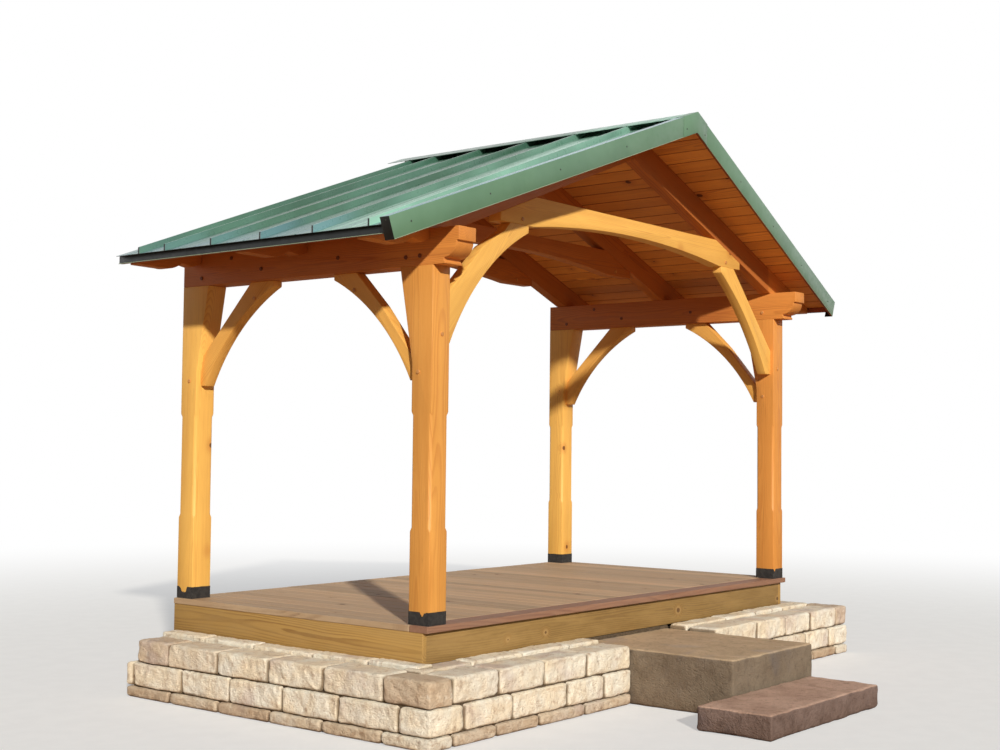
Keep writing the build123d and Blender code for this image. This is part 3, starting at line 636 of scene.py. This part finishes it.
# A deck board with rounded edges and chipped ends
def plank(boards, lo, hi, along, tone):
    ease, chip = 4 * mm, 1.5 * mm
    lo, hi = Vector(lo), Vector(hi)
    at, tone = grain_of(along, (lo + hi) / 2, tone=tone, far=True)
    cross = 0 if along[1] else 1
    run = 1 - cross
    a0, a1, z0, z1 = lo[cross], hi[cross], lo.z, hi.z
    corner = []
    for ca, cz, start in ((a1, z0, -90), (a1, z1, 0), (a0, z1, 90), (a0, z0, 180)):
        ia = ca - ease if ca == a1 else ca + ease
        iz = cz - ease if cz == z1 else cz + ease
        for step in range(3):
            turn = math.radians(start + 45 * step)
            corner.append((ia + ease * math.cos(turn), iz + ease * math.sin(turn)))

    def ring(value, inset):
        ma, mz = (a0 + a1) / 2, (z0 + z1) / 2
        points = []
        for a, z in corner:
            a += inset * (1 if a < ma else -1)
            z += inset * (1 if z < mz else -1)
            p = [0, 0, z]
            p[cross], p[run] = a, value
            points.append(p)
        return points
    rings = [ring(lo[run], chip), ring(lo[run] + chip, 0), ring(hi[run] - chip, 0), ring(hi[run], chip)]
    boards.add(rings, at, tone)


# Deck boards run out from the wall, the border board lies across their ends
deck_lo, deck_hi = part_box("deck_boards")
deck = Boards()
deck_count = 30
deck_gap = 6 * mm
deck_pitch = (deck_hi.x - deck_lo.x + deck_gap) / deck_count
for i in range(deck_count):
    x0 = deck_lo.x + i * deck_pitch
    sag = random.uniform(0, 1.2) * mm
    tone = 0.95 if i in (0, deck_count - 1) else random.random()
    plank(deck, (x0, deck_lo.y + 3 * mm, deck_lo.z), (x0 + deck_pitch - deck_gap, deck_hi.y, deck_hi.z - sag),
          (0, 1, 0), tone)
deck.piece("deck_planks", deck_wood, "deck_wood", ("deck_boards",))
edge_lo, edge_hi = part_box("deck_border")
border = Boards()
joint_x = 0.42
plank(border, edge_lo, (joint_x - 1 * mm, edge_hi.y - 3 * mm, edge_hi.z), (1, 0, 0), 0.45)
plank(border, (joint_x + 1 * mm, edge_lo.y, edge_lo.z), (edge_hi.x, edge_hi.y - 3 * mm, edge_hi.z - 1 * mm),
      (1, 0, 0), 0.65)
border.piece("deck_edge_planks", border_wood, "deck_wood", ("deck_border",))


# Stone blocks: boxes divided into a grid, rounded, then worn and rock faced by seeded noise.
# Nothing stands outside the box of a block. "shown" holds the directions of its open faces, the worn ones.
class Blocks:
    def __init__(self, grid=0.015):
        self.bm = bmesh.new()
        self.tones = []
        self.joints = []
        self.grid = grid

    def add(self, lo, hi, tone=None, round_off=0.027, rocky=0.013, gap=0.0005, top=1.0, shown=((0, 0, 1),)):
        lo, hi = Vector(lo), Vector(hi)
        shown = [Vector(d) for d in shown]
        lo = lo + Vector((gap, gap, gap if lo.z > 0.01 else 0))
        hi = hi - Vector((gap, gap, gap))
        size, half, centre = hi - lo, (hi - lo) / 2, (lo + hi) / 2
        counts = [max(3, round(s / self.grid)) for s in size]
        seed = Vector((random.uniform(0, 90), random.uniform(0, 90), random.uniform(0, 90)))
        tone = random.random() if tone is None else tone
        verts = {}

        def vertex(i, j, k):
            if (i, j, k) in verts:
                return verts[i, j, k]
            p = Vector((i / counts[0] - 0.5, j / counts[1] - 0.5, k / counts[2] - 0.5)) * 2
            p = Vector(math.copysign(abs(c) ** 0.88, c) for c in p)
            p = Vector(p[a] * half[a] for a in range(3))
            radius = round_off * (0.55 + 1.0 * (noise.noise((p + seed) * 9) * 0.5 + 0.5))
            radius = min(radius, min(half) * 0.8)
            inner = Vector(max(-half[a] + radius, min(half[a] - radius, p[a])) for a in range(3))
            out = p - inner
            out = out.normalized() if out.length > 1e-9 else Vector((0, 0, 1))
            p = inner + out * radius
            self.joints.append(min(sum(abs(d[a]) * half[a] for a in range(3)) - p.dot(d) for d in shown))
            spot = p + seed
            rough = noise.fractal(spot * 7, 0.9, 2.1, 3, noise_basis="PERLIN_ORIGINAL")
            facet = noise.fractal(spot * 24, 0.8, 2.0, 3, noise_basis="PERLIN_ORIGINAL")
            chisel = max(0.0, noise.noise(spot * 13) - 0.2)
            run = spot.x + spot.y
            slant = noise.noise(Vector(((run + spot.z) * 13, (spot.z - run) * 42, seed.x)))
            flat = 1.0 - 0.62 * max(0.0, out.z) * top
            depth = rocky * (0.5 - 0.62 * rough) + rocky * 0.40 * (0.5 - facet)
            depth += rocky * (0.8 * chisel + 0.42 * slant)
            open_here = max(max(0.0, out.dot(d)) for d in shown)
            depth = max(0.0, depth * flat * (0.05 + 0.95 * open_here ** 1.5))
            self.tones.append(tone)
            verts[i, j, k] = self.bm.verts.new(centre + p - out * depth)
            return verts[i, j, k]

        def quad(*corners):
            self.bm.faces.new([vertex(*corner) for corner in corners])

        a, b, c = counts
        for i in range(a):
            for j in range(b):
                quad((i, j, 0), (i, j + 1, 0), (i + 1, j + 1, 0), (i + 1, j, 0))
                quad((i, j, c), (i + 1, j, c), (i + 1, j + 1, c), (i, j + 1, c))
        for i in range(a):
            for k in range(c):
                quad((i, 0, k), (i + 1, 0, k), (i + 1, 0, k + 1), (i, 0, k + 1))
                quad((i, b, k), (i, b, k + 1), (i + 1, b, k + 1), (i + 1, b, k))
        for j in range(b):
            for k in range(c):
                quad((0, j, k), (0, j, k + 1), (0, j + 1, k + 1), (0, j + 1, k))
                quad((a, j, k), (a, j + 1, k), (a, j + 1, k + 1), (a, j, k + 1))

    def piece(self, name, material, slot, stands_for):
        mesh = mesh_from(self.bm, name)
        write_number(mesh, "tone", self.tones)
        write_number(mesh, "joint", self.joints)
        mesh.shade_smooth()
        add_piece(name, mesh, material, stands_for)


# The base: faces, beds and depths, and the joints along each course. Course 2 holds the cap blocks, and
# no block is shorter than "least".
wall_out, wall_in, wall_top = 2.551, 2.051, 0.378
front_out, front_in = -0.696, -0.196
step_left, step_right = -0.600, 0.465
beds = (0.0, 0.074, 0.226, wall_top)
face_deep = 0.250
cap_back = 0.014
cap_high = 0.398
rear_step = 0.105
back_in, inner_end = wall_y - 0.200, wall_y - 0.040
block_long, block_half = 0.456, 0.23
cap, least = 2, 0.05
rim_side, rim_face = 2.161, -0.291
left_joints = ((-0.329, 0.133, 0.569, 1.023, 1.482), (-0.456, 0.004, 0.459, 0.920, 1.367, 1.844),
               (-0.335, 0.138, 0.591, 1.036, 1.496))
front_joints = ((-2.340, -1.960, -1.560, -1.100), (-2.242, -1.818, -1.290, -0.900),
                (-2.335, -1.940, -1.510, -1.080))
inner_joints = (-0.387, 0.018, 0.474, 0.993, 1.451)
corner_tones, rear_cap_tone = (0.5, 0.35, 0.93), 0.86


def jitter(values):
    return [v + random.uniform(-0.04, 0.04) for v in values]


def tone_of(k):
    return random.uniform(0.62, 1.0) if k == 0 else random.uniform(0.0, 0.78)


# How far a block of course k stands up over its bed, and back behind the wall's face
def uneven(k):
    lift = random.uniform(-0.004, 0.004) if k == cap else 0
    return lift, cap_back * random.uniform(0.2, 1.0) if k == cap else random.uniform(0.0, 0.006)


# Adds a block on one side, with x measured out from the middle
def block_on(blocks, sx):
    def block(x0, x1, y0, y1, z0, z1, **more):
        xs = sorted((sx * x0, sx * x1))
        blocks.add((xs[0], y0, z0), (xs[1], y1, z1), **more)
    return block


def side_wall(name, sx, joints, inner, node, corner_x):
    blocks = Blocks()
    block = block_on(blocks, sx)
    faces = ((sx, 0, 0), (0, 0, 1))
    for k in range(3):
        z0, z1 = beds[k], beds[k + 1]
        back = cap_back * random.uniform(0.2, 1.0) if k == cap else 0.0
        block(corner_x[k], wall_out - back, front_out + back, joints[k][0], z0, z1, tone=corner_tones[k],
              shown=faces + ((0, -1, 0),))
        ends = list(joints[k]) + [wall_y - (rear_step if k == cap else 0.0)]
        for y0, y1 in zip(ends, ends[1:]):
            if y1 - y0 > least:
                last = ((0, 1, 0),) if y1 == ends[-1] else ()
                deep = wall_out - face_deep + (random.uniform(-0.02, 0.02) if k == cap else 0)
                lift, back = uneven(k)
                tone = rear_cap_tone if last and k == cap else tone_of(k)
                block(deep, wall_out - back, y0, y1, z0, z1 + lift, tone=tone, shown=faces + last)
        block(wall_in, rim_side - 0.001 if k == cap else wall_out - face_deep, back_in, wall_y, z0,
              z1 - (0.001 if k == cap else 0.0), tone=tone_of(k), shown=((0, 1, 0), (0, 0, 1)))
    ends = [rim_face] + list(inner) + [inner_end]
    for y0, y1 in zip(ends, ends[1:]):
        if y1 - y0 > least:
            high = cap_high + random.uniform(-0.006, 0.006)
            block(rim_side + 0.001, wall_out - face_deep - 0.004, y0, y1, beds[2], high,
                  tone=tone_of(cap), round_off=0.022, shown=faces)
    blocks.piece(name, wall_stone, "wall_stone", (node,))


def front_wall(name, sx, joints, near, node):
    blocks = Blocks()
    block = block_on(blocks, sx)
    faces = ((0, -1, 0), (0, 0, 1))
    for k in range(3):
        z0, z1 = beds[k], beds[k + 1]
        ends = [-v for v in joints[k]] + [near]
        for x1, x0 in zip(ends, ends[1:]):
            if x1 - x0 > least:
                lift, back = uneven(k)
                block(x0, x1, front_out + back, front_out + face_deep, z0, z1 + lift, tone=tone_of(k),
                      shown=faces)
    x = -joints[2][0] - 0.002
    while x - near > least:
        step = min(x - near, random.uniform(0.40, 0.50))
        if x - near - step < 0.15:
            step = x - near
        high = cap_high - 0.006 + random.uniform(-0.005, 0.005)
        block(x - step, x, front_out + face_deep + 0.002, rim_face - 0.001, beds[2], high,
              tone=tone_of(cap), round_off=0.022, shown=faces)
        x -= step
    blocks.piece(name, wall_stone, "wall_stone", (node,))


corner_left = [-j[0] for j in front_joints]
side_wall("stones_left", -1, left_joints, inner_joints, "wall_left", corner_left)
front_wall("stones_front_left", -1, front_joints, -step_left, "wall_front_left")
right_front = [sorted(jitter(j)) for j in front_joints]
right_front = [[v for v in j if v < -step_right - 0.2] for j in right_front]
right_side = [sorted(jitter(j)) for j in left_joints]
side_wall("stones_right", 1, right_side, jitter(inner_joints), "wall_right", [-j[0] for j in right_front])
front_wall("stones_front_right", 1, right_front, step_right, "wall_front_right")
back = Blocks(0.03)
for k in range(3):
    x = -wall_in
    first = True
    while x < wall_in - 0.01:
        step = block_half if first and k == 1 else block_long
        first = False
        if wall_in - x - step < 0.12:
            step = wall_in - x
        back.add((x, back_in, beds[k]), (x + step, wall_y, beds[k + 1]), shown=((0, 1, 0), (0, 0, 1)))
        x += step
back.piece("stones_back", wall_stone, "wall_stone", ("wall_back",))


# Core behind the faces of the blocks, and under the cap blocks up to the rim
def core_box(bm, lo, hi):
    box = bmesh.ops.create_cube(bm, size=1.0)["verts"]
    centre = (Vector(lo) + Vector(hi)) / 2
    size = Vector(hi) - Vector(lo)
    for v in box:
        v.co = Vector(v.co[a] * size[a] for a in range(3)) + centre


bm = bmesh.new()
inset, below = 0.040, 0.030
for sx in (-1, 1):
    xs = sorted((sx * wall_in, sx * (wall_out - inset)))
    core_box(bm, (xs[0], front_in + 0.001, 0.0), (xs[1], wall_y - inset, beds[2] - below))
    core_box(bm, (xs[0], front_in + 0.001, beds[2] - 2 * below),
             (xs[1], wall_y - rear_step - inset, wall_top - below))
    near = step_left if sx < 0 else step_right
    xs = sorted((near + sx * 0.012, sx * (wall_out - inset)))
    core_box(bm, (xs[0], front_out + inset, 0.0), (xs[1], front_in, wall_top - below))
core_box(bm, (-wall_in + 0.001, back_in + inset, 0.0), (wall_in - 0.001, wall_y - inset, wall_top - below))
# A strip behind the landing closes the slit under the front rim
core_box(bm, (step_left - 0.01, rim_face + 0.004, 0.30), (step_right + 0.01, front_in, wall_top - 0.001))
bmesh.ops.bevel(bm, geom=list(bm.edges), offset=0.01, segments=1, affect="EDGES", profile=0.5)
add_piece("wall_core", mesh_from(bm, "wall_core"), core)

# Landing and lower slab
all_round = ((1, 0, 0), (-1, 0, 0), (0, -1, 0), (0, 0, 1))
landing = Blocks(0.022)
lo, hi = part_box("step_upper")
landing.add(lo, hi, tone=0.3, round_off=0.022, rocky=0.009, gap=0.001, top=1.1, shown=all_round)
landing.piece("landing_slab", landing_stone, "step_stone", ("step_upper",))
slab = Blocks(0.020)
lo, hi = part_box("step_lower")
slab.add(lo, hi, tone=0.55, round_off=0.024, rocky=0.013, gap=0.001, top=1.1, shown=all_round + ((0, 1, 0),))
slab.piece("lower_slab", slab_stone, "step_stone", ("step_lower",))


# Sheet metal of the roof, its edges slightly rounded. The end faces at the eaves are painted dark as the
# shade inside the open ends, and the flat tops of the rake trims carry a painted bluish reflection of the
# sky.
sheet_end = 2.66
for node, metal in (("roof_metal_left", green), ("roof_metal_right", green), ("ridge_cap", green),
                    ("rake_trim_left", green_trim), ("rake_trim_right", green_trim),
                    ("rake_peak", green_trim),
                    ("eave_trim_left", green_dark), ("eave_trim_right", green_dark)):
    mesh = mesh_from(eased(node, 0.8 * mm, 35), "dressed_" + node)
    shade(mesh, 40)
    add_piece("dressed_" + node, mesh, metal, (node,))
    mesh.materials.append(green_dark)
    mesh.materials.append(rake_top_sky_paint)
    for face in mesh.polygons:
        # The end faces at the eaves are painted dark as the shade inside the open ends
        if abs(face.normal.x) > 0.9 and abs(face.center.x) > sheet_end:
            face.material_index = 1
        # The flat tops of the rake trims take the painted reflection of the sky
        elif node.startswith("rake_trim") and face.normal.z > 0.8:
            face.material_index = 2

# Folded hems along the lower edges, as thin round strips, painted pale as a highlight
across_slope = (math.sin(pitch), math.cos(pitch))
hem_radius = 2.2 * mm
rake_foot, rake_half, peak_end = -0.065, 2.714, 0.155
rib_top = 0.066
rake_end_s = (rake_half - rib_top * across_slope[0]) / across_slope[1]


def strip(bm, start, end, side, lift, radius, sides=6):
    round_it = [math.pi * 2 * i / sides for i in range(sides)]
    skin(bm, [[bm.verts.new(Vector(p) + side * radius * math.cos(a) + lift * radius * math.sin(a))
               for a in round_it] for p in (start, end)])


bm = bmesh.new()
eave_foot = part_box("eave_trim_left")[0]
for sx in (-1, 1):
    start = roof_point(sx, peak_end, rake_foot + hem_radius, None, 0.001)
    end = roof_point(sx, rake_end_s - 0.004, rake_foot + hem_radius, None, 0.001)
    strip(bm, start, end, Vector((0, 1, 0)), Vector((0, 0, 1)), hem_radius)
    x, z = sx * (boards_half + 0.008), eave_foot.z + hem_radius
    y0 = gable_edge(x, eave_foot.z, 0.012)
    strip(bm, (x, y0, z), (x, wall_y - 0.002, z), Vector((1, 0, 0)), Vector((0, 0, 1)), hem_radius)
bmesh.ops.recalc_face_normals(bm, faces=bm.faces)
plain_piece("metal_hems", bm, 60, hem_highlight_metal)

# Low stiffening beads pressed into the pans, two between each pair of ribs and one in each narrow pan
rib_lines = (-0.327, 0.112, 0.551, 0.990, 1.429, 1.686, 1.916)
bead_half, bead_high, bead_ends = 11 * mm, 2.2 * mm, (0.10, 2.866)
bead_section = ((-1.0, -0.3), (-0.62, 0.62), (-0.25, 1.0), (0.25, 1.0), (0.62, 0.62), (1.0, -0.3))
pan_top, narrow_pan = 0.025, 0.3
bm = bmesh.new()
for sx in (-1, 1):
    for y0, y1 in zip(rib_lines, rib_lines[1:]):
        for share in (1 / 2,) if y1 - y0 < narrow_pan else (1 / 3, 2 / 3):
            y = y0 + (y1 - y0) * share
            skin(bm, [[bm.verts.new(roof_point(sx, s, pan_top + h * bead_high, y + a * bead_half))
                       for a, h in bead_section] for s in bead_ends])
bmesh.ops.recalc_face_normals(bm, faces=bm.faces)
plain_piece("pan_beads", bm, 50, green)


# Boots round the feet of the posts: a thin wrapped membrane with an uneven top edge and torn notches.
# Each tear is named by its place along the wrap, half its width, its depth and how square it is.
deck_top, boot_high = 0.6, 0.0765


def boot(bm, x0, x1, y0, y1, open_back, tears):
    path = []
    step = 0.006
    corners = [(x0, y1), (x0, y0), (x1, y0), (x1, y1)]
    if not open_back:
        corners.append((x0, y1))
    length = 0.0
    for (ax, ay), (bx, by) in zip(corners, corners[1:]):
        d = math.hypot(bx - ax, by - ay)
        count = round(d / step)
        for i in range(count):
            path.append((ax + (bx - ax) * i / count, ay + (by - ay) * i / count, length + d * i / count))
        length += d
    path.append((corners[-1][0], corners[-1][1], length))
    rows = 9
    centre = Vector(((x0 + x1) / 2, (y0 + y1) / 2, 0))
    grid = []
    for px, py, run in path:
        seed = Vector((px * 9 + 3.1, py * 9 + 7.7, 0.5))
        top = boot_high + 0.0012 * noise.noise(seed * 3)
        for at, width, deep, square in tears:
            away = abs(run - at)
            if away < width:
                ragged = 0.85 + 0.3 * noise.noise(Vector((run * 160, at, 0)))
                top -= deep * (1 - (away / width) ** square) * ragged
        column = []
        for r in range(rows):
            z = top * r / (rows - 1)
            out = 0.0012 + 0.0007 * noise.noise(Vector((px * 30, py * 30, z * 45 + 2)))
            d = Vector((px, py, 0)) - centre
            n = Vector((0, 0, 0))
            if abs(d.x) > (x1 - x0) / 2 - 1e-4:
                n.x = math.copysign(1, d.x)
            if abs(d.y) > (y1 - y0) / 2 - 1e-4 and not (open_back and d.y > 0):
                n.y = math.copysign(1, d.y)
            p = Vector((px, py, deck_top + z))
            column.append((bm.verts.new(p), bm.verts.new(p + n * max(0.0006, out))))
        grid.append(column)
    for a, b in zip(grid, grid[1:]):
        for r in range(rows - 1):
            bm.faces.new((a[r][1], b[r][1], b[r + 1][1], a[r + 1][1]))
            bm.faces.new((a[r][0], a[r + 1][0], b[r + 1][0], b[r][0]))
        bm.faces.new((a[-1][1], b[-1][1], b[-1][0], a[-1][0]))
        bm.faces.new((a[0][1], a[0][0], b[0][0], b[0][1]))


post_size = 0.152
post_out, post_in, front_y, rear_y = 2.141, 1.989, -0.316, 1.764
front_back_y = front_y + post_size
bm = bmesh.new()
boot(bm, -post_out, -post_in, front_y, front_back_y, False,
     [(0.105, 0.018, 0.028, 2.0), (0.128, 0.006, 0.008, 2.0)])
boot(bm, post_in, post_out, front_y, front_back_y, False, [(0.172, 0.018, 0.026, 1.5)])
boot(bm, -post_out, -post_in, rear_y, wall_y, True, [(0.070, 0.030, 0.042, 6.0), (0.036, 0.014, 0.012, 2.0)])
boot(bm, post_in, post_out, rear_y, wall_y, True, [(0.36, 0.02, 0.02, 1.5)])
plain_piece("boot_wraps", bm, 40, flashing, ("post_boots",))


# Round heads in one mesh: pegs and screws
def head(bm, where, out, radius, proud, sides=16, dome=0.25):
    u, v, w = axes_for(out)
    where = Vector(where)
    rings = ((radius, -0.004), (radius, proud * (1 - dome)), (radius * (1 - dome * 0.6), proud))
    round_it = [2 * math.pi * i / sides for i in range(sides)]
    skin(bm, [[bm.verts.new(where + u * r * math.cos(a) + v * r * math.sin(a) + w * h) for a in round_it]
              for r, h in rings], first=False)


# Wooden pegs through the joints, with x measured out from the middle: in the plates, side braces, posts,
# front braces and collars. Those in the plates are painted dark as shade where no sun falls on them.
peg_radius, peg_proud = 12.5 * mm, 7 * mm
plate_low, plate_high = 2.685, 2.9
plate_pegs = ((1.435, 2.835), (1.147, 2.744), (0.456, 2.764), (-0.104, 2.725), (-0.214, 2.727),
              (1.731, 2.720))
side_brace_out = 2.103
collar_fronts, collar_thick = (-0.288, 0.725, 1.738), 0.096
bm = bmesh.new()
for sx in (-1, 1):
    outward, inward, ahead, behind = (sx, 0, 0), (-sx, 0, 0), (0, -1, 0), (0, 1, 0)
    pegs = []
    for y, z in plate_pegs:
        pegs += [(post_out, y, z, outward), (post_in, y, z, inward)]
    pegs += [(side_brace_out, 0.350, 2.563, outward), (side_brace_out, 1.250, 2.563, outward),
             (post_out, 1.836, 2.040, outward), (post_out, -0.213, 2.053, outward),
             (post_in, -0.220, 2.051, inward), (2.055, front_y, 2.273, ahead)]
    for y in collar_fronts:
        pegs += [(1.269, y, 3.049, ahead), (1.269, y + collar_thick, 3.049, behind)]
    for x, y, z, out in pegs:
        head(bm, (sx * x, y, z), out, peg_radius, peg_proud)
mesh = mesh_from(bm, "wooden_pegs")
at, tone = grain_of((0, 0, 1), (0, 0, 0), 0.02, 0.15)


def peg_tone_with_shade(p):
    # Painted shade: pegs in the plates are dark, except those on the sunlit front end of the right plate
    in_plate = plate_low < p.z < plate_high
    lit = p.x > 0 and p.y < -0.15
    return 1.0 if in_plate and not lit else tone


write_grain(mesh, [(at(v.co), peg_tone_with_shade(v.co)) for v in mesh.vertices])
shade(mesh, 35)
add_piece("wooden_pegs", mesh, peg_wood)

# Screw heads along the gable edge, on its end plates and along the ridge cap
screw_radius, screw_proud = 5.5 * mm, 1.8 * mm
bm = bmesh.new()
for sx in (-1, 1):
    rake_out = Vector((sx * skew, -(1 + slope ** 2), -slope * skew)).normalized()
    for s in (0.132, 0.791, 1.456, 2.090, 2.734):
        spot = Vector(roof_point(sx, s, 0.001 if s > 0.2 else -0.018, None, 0.0))
        if s < 0.2:
            spot += rake_out * 0.002
        head(bm, spot, rake_out, screw_radius, screw_proud, 12, 0.5)
    down_slope = Vector((sx * across_slope[1], 0, -across_slope[0]))
    head(bm, roof_point(sx, rake_end_s, 0.046, None, 0.030), down_slope, screw_radius, screw_proud, 12, 0.5)
    lift = Vector((sx * across_slope[0], 0, across_slope[1]))
    for y in rib_lines[:-1]:
        head(bm, roof_point(sx, 0.150, rib_top, y), lift, screw_radius, screw_proud, 12, 0.5)
plain_piece("metal_screws", bm, 35, screw_metal)

# Camera at the photograph's place
camera = place_in_scene("camera", bpy.data.cameras.new("camera"))
yaw, tilt, roll = math.radians(51.342), math.radians(2.852), math.radians(0.631)
ahead = Vector((math.sin(yaw) * math.cos(tilt), math.cos(yaw) * math.cos(tilt), math.sin(tilt)))
level = Vector((math.cos(yaw), -math.sin(yaw), 0))
rise_up = level.cross(ahead)
right = math.cos(roll) * level + math.sin(roll) * rise_up
upward = -math.sin(roll) * level + math.cos(roll) * rise_up
turn = Matrix((right, upward, -ahead)).transposed()
camera.matrix_world = Matrix.Translation((-8.259, -5.712, 1.630)) @ turn.to_4x4()
camera.data.lens = 51.25
camera.data.sensor_width = 36.0
camera.data.clip_end = 400
bpy.context.scene.camera = camera

# Key light: a low sun behind the camera, its direction fitted to the edges of the shadows
key = place_in_scene("key", bpy.data.lights.new("key", "SUN"))
key.data.energy = 3.75
key.data.angle = math.radians(2)
key.data.color = (1.0, 0.94, 0.85)
down, heading = math.radians(22.8), math.radians(37)
key.rotation_mode = "QUATERNION"
beam = Vector((math.sin(heading) * math.cos(down), math.cos(heading) * math.cos(down), -math.sin(down)))
key.rotation_quaternion = beam.to_track_quat("-Z", "Y")

# Even fill from the world, and white for the camera, for reflections and through clear things
world = bpy.data.worlds.new("studio")
scene.world = world
world.use_nodes = True
wt = world.node_tree
wt.nodes.clear()
path = wt.nodes.new("ShaderNodeLightPath")
sees_white = path.outputs["Is Camera Ray"]
for kind in ("Is Transmission Ray", "Is Glossy Ray"):
    either = wt.nodes.new("ShaderNodeMath")
    either.operation = "MAXIMUM"
    wt.links.new(sees_white, either.inputs[0])
    wt.links.new(path.outputs[kind], either.inputs[1])
    sees_white = either.outputs[0]
blend = wt.nodes.new("ShaderNodeMixShader")
wt.links.new(sees_white, blend.inputs[0])
for socket, colour, strength in ((1, (0.84, 0.92, 1.0, 1), 0.14), (2, (1, 1, 1, 1), 1.0)):
    light = wt.nodes.new("ShaderNodeBackground")
    light.inputs[0].default_value = colour
    light.inputs[1].default_value = strength
    wt.links.new(light.outputs[0], blend.inputs[socket])
world_out = wt.nodes.new("ShaderNodeOutputWorld")
wt.links.new(blend.outputs[0], world_out.inputs[0])

# Pale floor that fades to white far from the object
bm = bmesh.new()
bmesh.ops.create_grid(bm, x_segments=8, y_segments=8, size=120)
mesh = mesh_from(bm, "floor")
floor = place_in_scene("floor", mesh)
floor.location = (0, 0, -0.001)
t = Tree("pale_floor")
p = t.place()
away = t.vec("LENGTH", t.vec("MULTIPLY", p, (1, 1, 0)))
ray = t.nodes.new("ShaderNodeLightPath").outputs["Is Camera Ray"]
spread = t.ramp(t.noise(p, 6.0, 3.0), 0.3, 0.7)
pale = t.mix(spread, paint(236, 235, 232), paint(241, 240, 237))
t.finish(t.mix(ray, t.mix(spread, paint(172, 136, 108), paint(180, 144, 116)), pale), 0.9, 0.2)
glow = t.nodes.new("ShaderNodeEmission")
glow.inputs[0].default_value = (1, 1, 1, 1)
mixer = t.nodes.new("ShaderNodeMixShader")
t.put(mixer.inputs[0], t.times(ray, t.ramp(away, 4.0, 15.0, 0.42, 1.0)))
t.links.new(t.shader.outputs[0], mixer.inputs[1])
t.links.new(glow.outputs[0], mixer.inputs[2])
t.links.new(mixer.outputs[0], t.out.inputs["Surface"])
mesh.materials.append(t.mat)

bpy.context.scene.view_settings.view_transform = "Standard"
